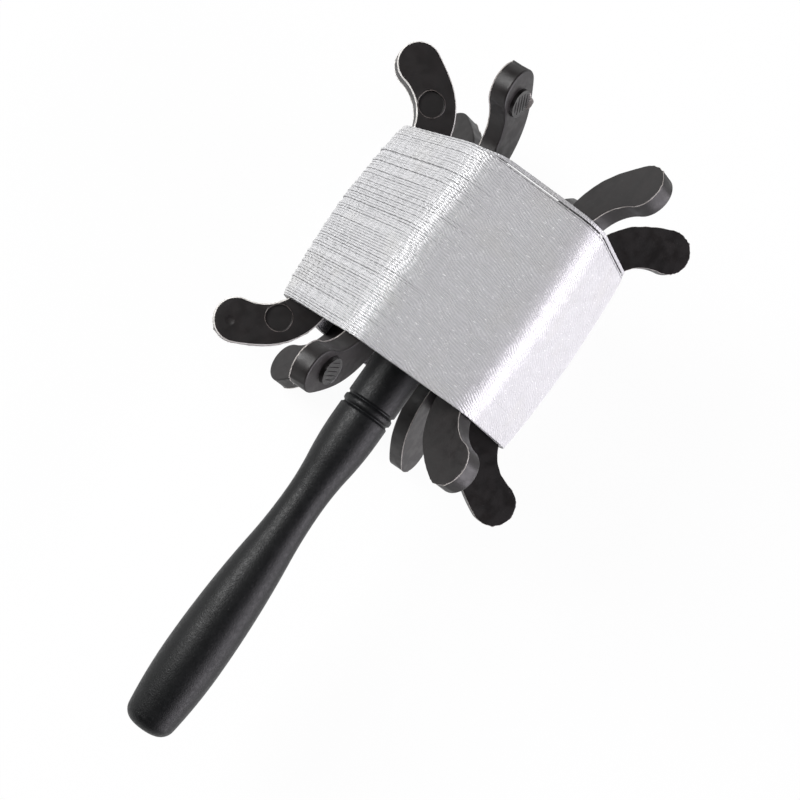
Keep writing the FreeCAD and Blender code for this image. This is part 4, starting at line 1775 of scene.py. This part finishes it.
@dataclass
class Studio:
    """Pale floor, soft lamps and the camera at the photograph's angle."""

    focal: float = 67.29
    sensor: float = 36.0
    place_mm: tuple[float, float, float] = (-62.28, 49.81, 409.8)
    right: tuple[float, float, float] = (0.57486, -0.80483, 0.14759)
    up: tuple[float, float, float] = (0.81558, 0.57814, -0.02395)
    back: tuple[float, float, float] = (-0.06605, 0.13414, 0.98876)
    # The floor lies just under the horn tips. Sizes of the room are metres.
    floor_size: float = 6.0
    floor_drop: float = 0.0004
    floor_colour: str = "#f3f3f4"
    floor_glow: float = 0.95
    world_strength: float = 0.08
    horizon: float = 0.25
    clip: tuple[float, float] = (0.01, 20.0)
    lamps: tuple[Lamp, ...] = (
        Lamp("ridge_lamp", 146.0, 2.0, 1.0, 0.47, 10.5),
        Lamp("top_lamp", 116.0, 5.0, 1.0, 1.1, 1.4),
        Lamp("side_lamp", 6.0, 0.0, 1.3, 1.7, 50.0, "#fcf7ff"),
    )

    def camera(self) -> None:
        """Adds the camera and sets it as the scene's own."""
        data = bpy.data.cameras.new("camera")
        data.lens = self.focal
        data.sensor_width = self.sensor
        data.clip_start, data.clip_end = self.clip
        made = linked("camera", data)
        turn = Matrix((self.right, self.up, self.back)).transposed().to_4x4()
        spot = REEL_CENTRE + Vector(self.place_mm) * MM
        made.matrix_world = Matrix.Translation(spot) @ turn
        bpy.context.scene.camera = made

    def seen(self, tree: Tree, rays: bpy.types.bpy_prop_collection, mirrored: Socket) -> Socket:
        """Whether a ray shows the room: straight on, in a mirror or through something clear.

        Args:
            tree: the node tree.
            rays: the outputs that say what kind of ray it is.
            mirrored: how far a mirror shows the room.

        Returns:
            A value that is 1 where the ray shows it and 0 where it only lights the piece.
        """
        shown = rays["Is Camera Ray"]
        for way in (mirrored, rays["Is Transmission Ray"]):
            shown = add_node(tree, "Math", {0: shown, 1: way}, operation="MAXIMUM")[0]
        return shown

    def paper(self) -> bpy.types.Material:
        """Matt white paper, as bright as the paper of a light table where it is looked at.

        Returns:
            The floor's material.
        """
        made = bpy.data.materials.new("white_paper_matt")
        tree = bare_tree(made)
        rays = add_node(tree, "LightPath")
        seen = self.seen(tree, rays, rays["Is Glossy Ray"])
        share = add_node(tree, "Math", {0: seen, 1: self.floor_glow}, operation="MULTIPLY")[0]
        matt = add_node(tree, "BsdfDiffuse", {"Color": linear(self.floor_colour)})[0]
        glow = add_node(tree, "Emission", {"Color": WHITE, "Strength": 1.0})[0]
        mixed = add_node(tree, "MixShader", {0: share, 1: matt, 2: glow})[0]
        add_node(tree, "OutputMaterial", {"Surface": mixed})
        return made

    def floor(self) -> None:
        """Adds a plain pale floor that keeps a soft shadow."""
        half = self.floor_size / 2.0
        mesh = bpy.data.meshes.new("floor")
        corners = [(x * half, y * half, 0.0) for x, y in ((-1, -1), (1, -1), (1, 1), (-1, 1))]
        mesh.from_pydata(corners, [], [(0, 1, 2, 3)])
        mesh.materials.append(self.paper())
        made = linked("floor", mesh)
        made.location = (0.0, 0.0, -self.floor_drop)

    def lamp(self, lamp: Lamp) -> None:
        """Adds a soft square lamp aimed at the reel.

        Args:
            lamp: the lamp's place, size and light.
        """
        data = bpy.data.lights.new(lamp.name, "AREA")
        data.shape = "SQUARE"
        data.size = lamp.size
        data.energy = lamp.power
        data.color = linear(lamp.colour)[:3]
        made = linked(lamp.name, data)
        tilt = math.radians(lamp.lean)
        way = outward(lamp.angle) * math.cos(tilt) + Vector((math.sin(tilt), 0.0, 0.0))
        made.location = REEL_CENTRE + way * lamp.distance
        made.rotation_mode = "QUATERNION"
        made.rotation_quaternion = way.to_track_quat("Z", "Y")

    def world(self) -> None:
        """Adds a faint even light that the camera sees as white, as mirrors do low down."""
        bpy.context.scene.world = bpy.data.worlds.new("studio")
        tree = bare_tree(bpy.context.scene.world)
        rays = add_node(tree, "LightPath")
        way = add_node(tree, "TexCoord")["Generated"]
        height = add_node(tree, "SeparateXYZ", {"Vector": way})["Z"]
        low = {"Value": height, "From Max": self.horizon, "To Min": 1.0, "To Max": 0.0}
        low = add_node(tree, "MapRange", low, interpolation_type="SMOOTHSTEP")["Result"]
        glossy = {0: rays["Is Glossy Ray"], 1: low}
        glossy = add_node(tree, "Math", glossy, operation="MULTIPLY")[0]
        seen = self.seen(tree, rays, glossy)
        strength = {"Value": seen, "To Min": self.world_strength, "To Max": 1.0}
        strength = add_node(tree, "MapRange", strength)["Result"]
        glow = add_node(tree, "Background", {"Color": WHITE, "Strength": strength})[0]
        add_node(tree, "OutputWorld", {"Surface": glow})

    def build(self) -> None:
        """Makes the camera, the floor, the world and the lamps."""
        self.camera()
        self.floor()
        self.world()
        for lamp in self.lamps:
            self.lamp(lamp)


def main() -> None:
    """Builds the winder's looks in order."""
    logging.basicConfig(level=logging.INFO, format="%(message)s")
    bpy.context.scene.view_settings.view_transform = "Standard"
    Studio().build()
    for number in range(1, PLATE_COUNT + 1):
        HornPlate(number, MarkPlace.TIP if number <= 3 else MarkPlace.THROAT).build()
    Grip().build()
    LinePackage().build()
    for far in (False, True):
        CapScrews(far).build()
    LockNut().build()
    Fittings().dress()


if __name__ == "__main__":
    main()
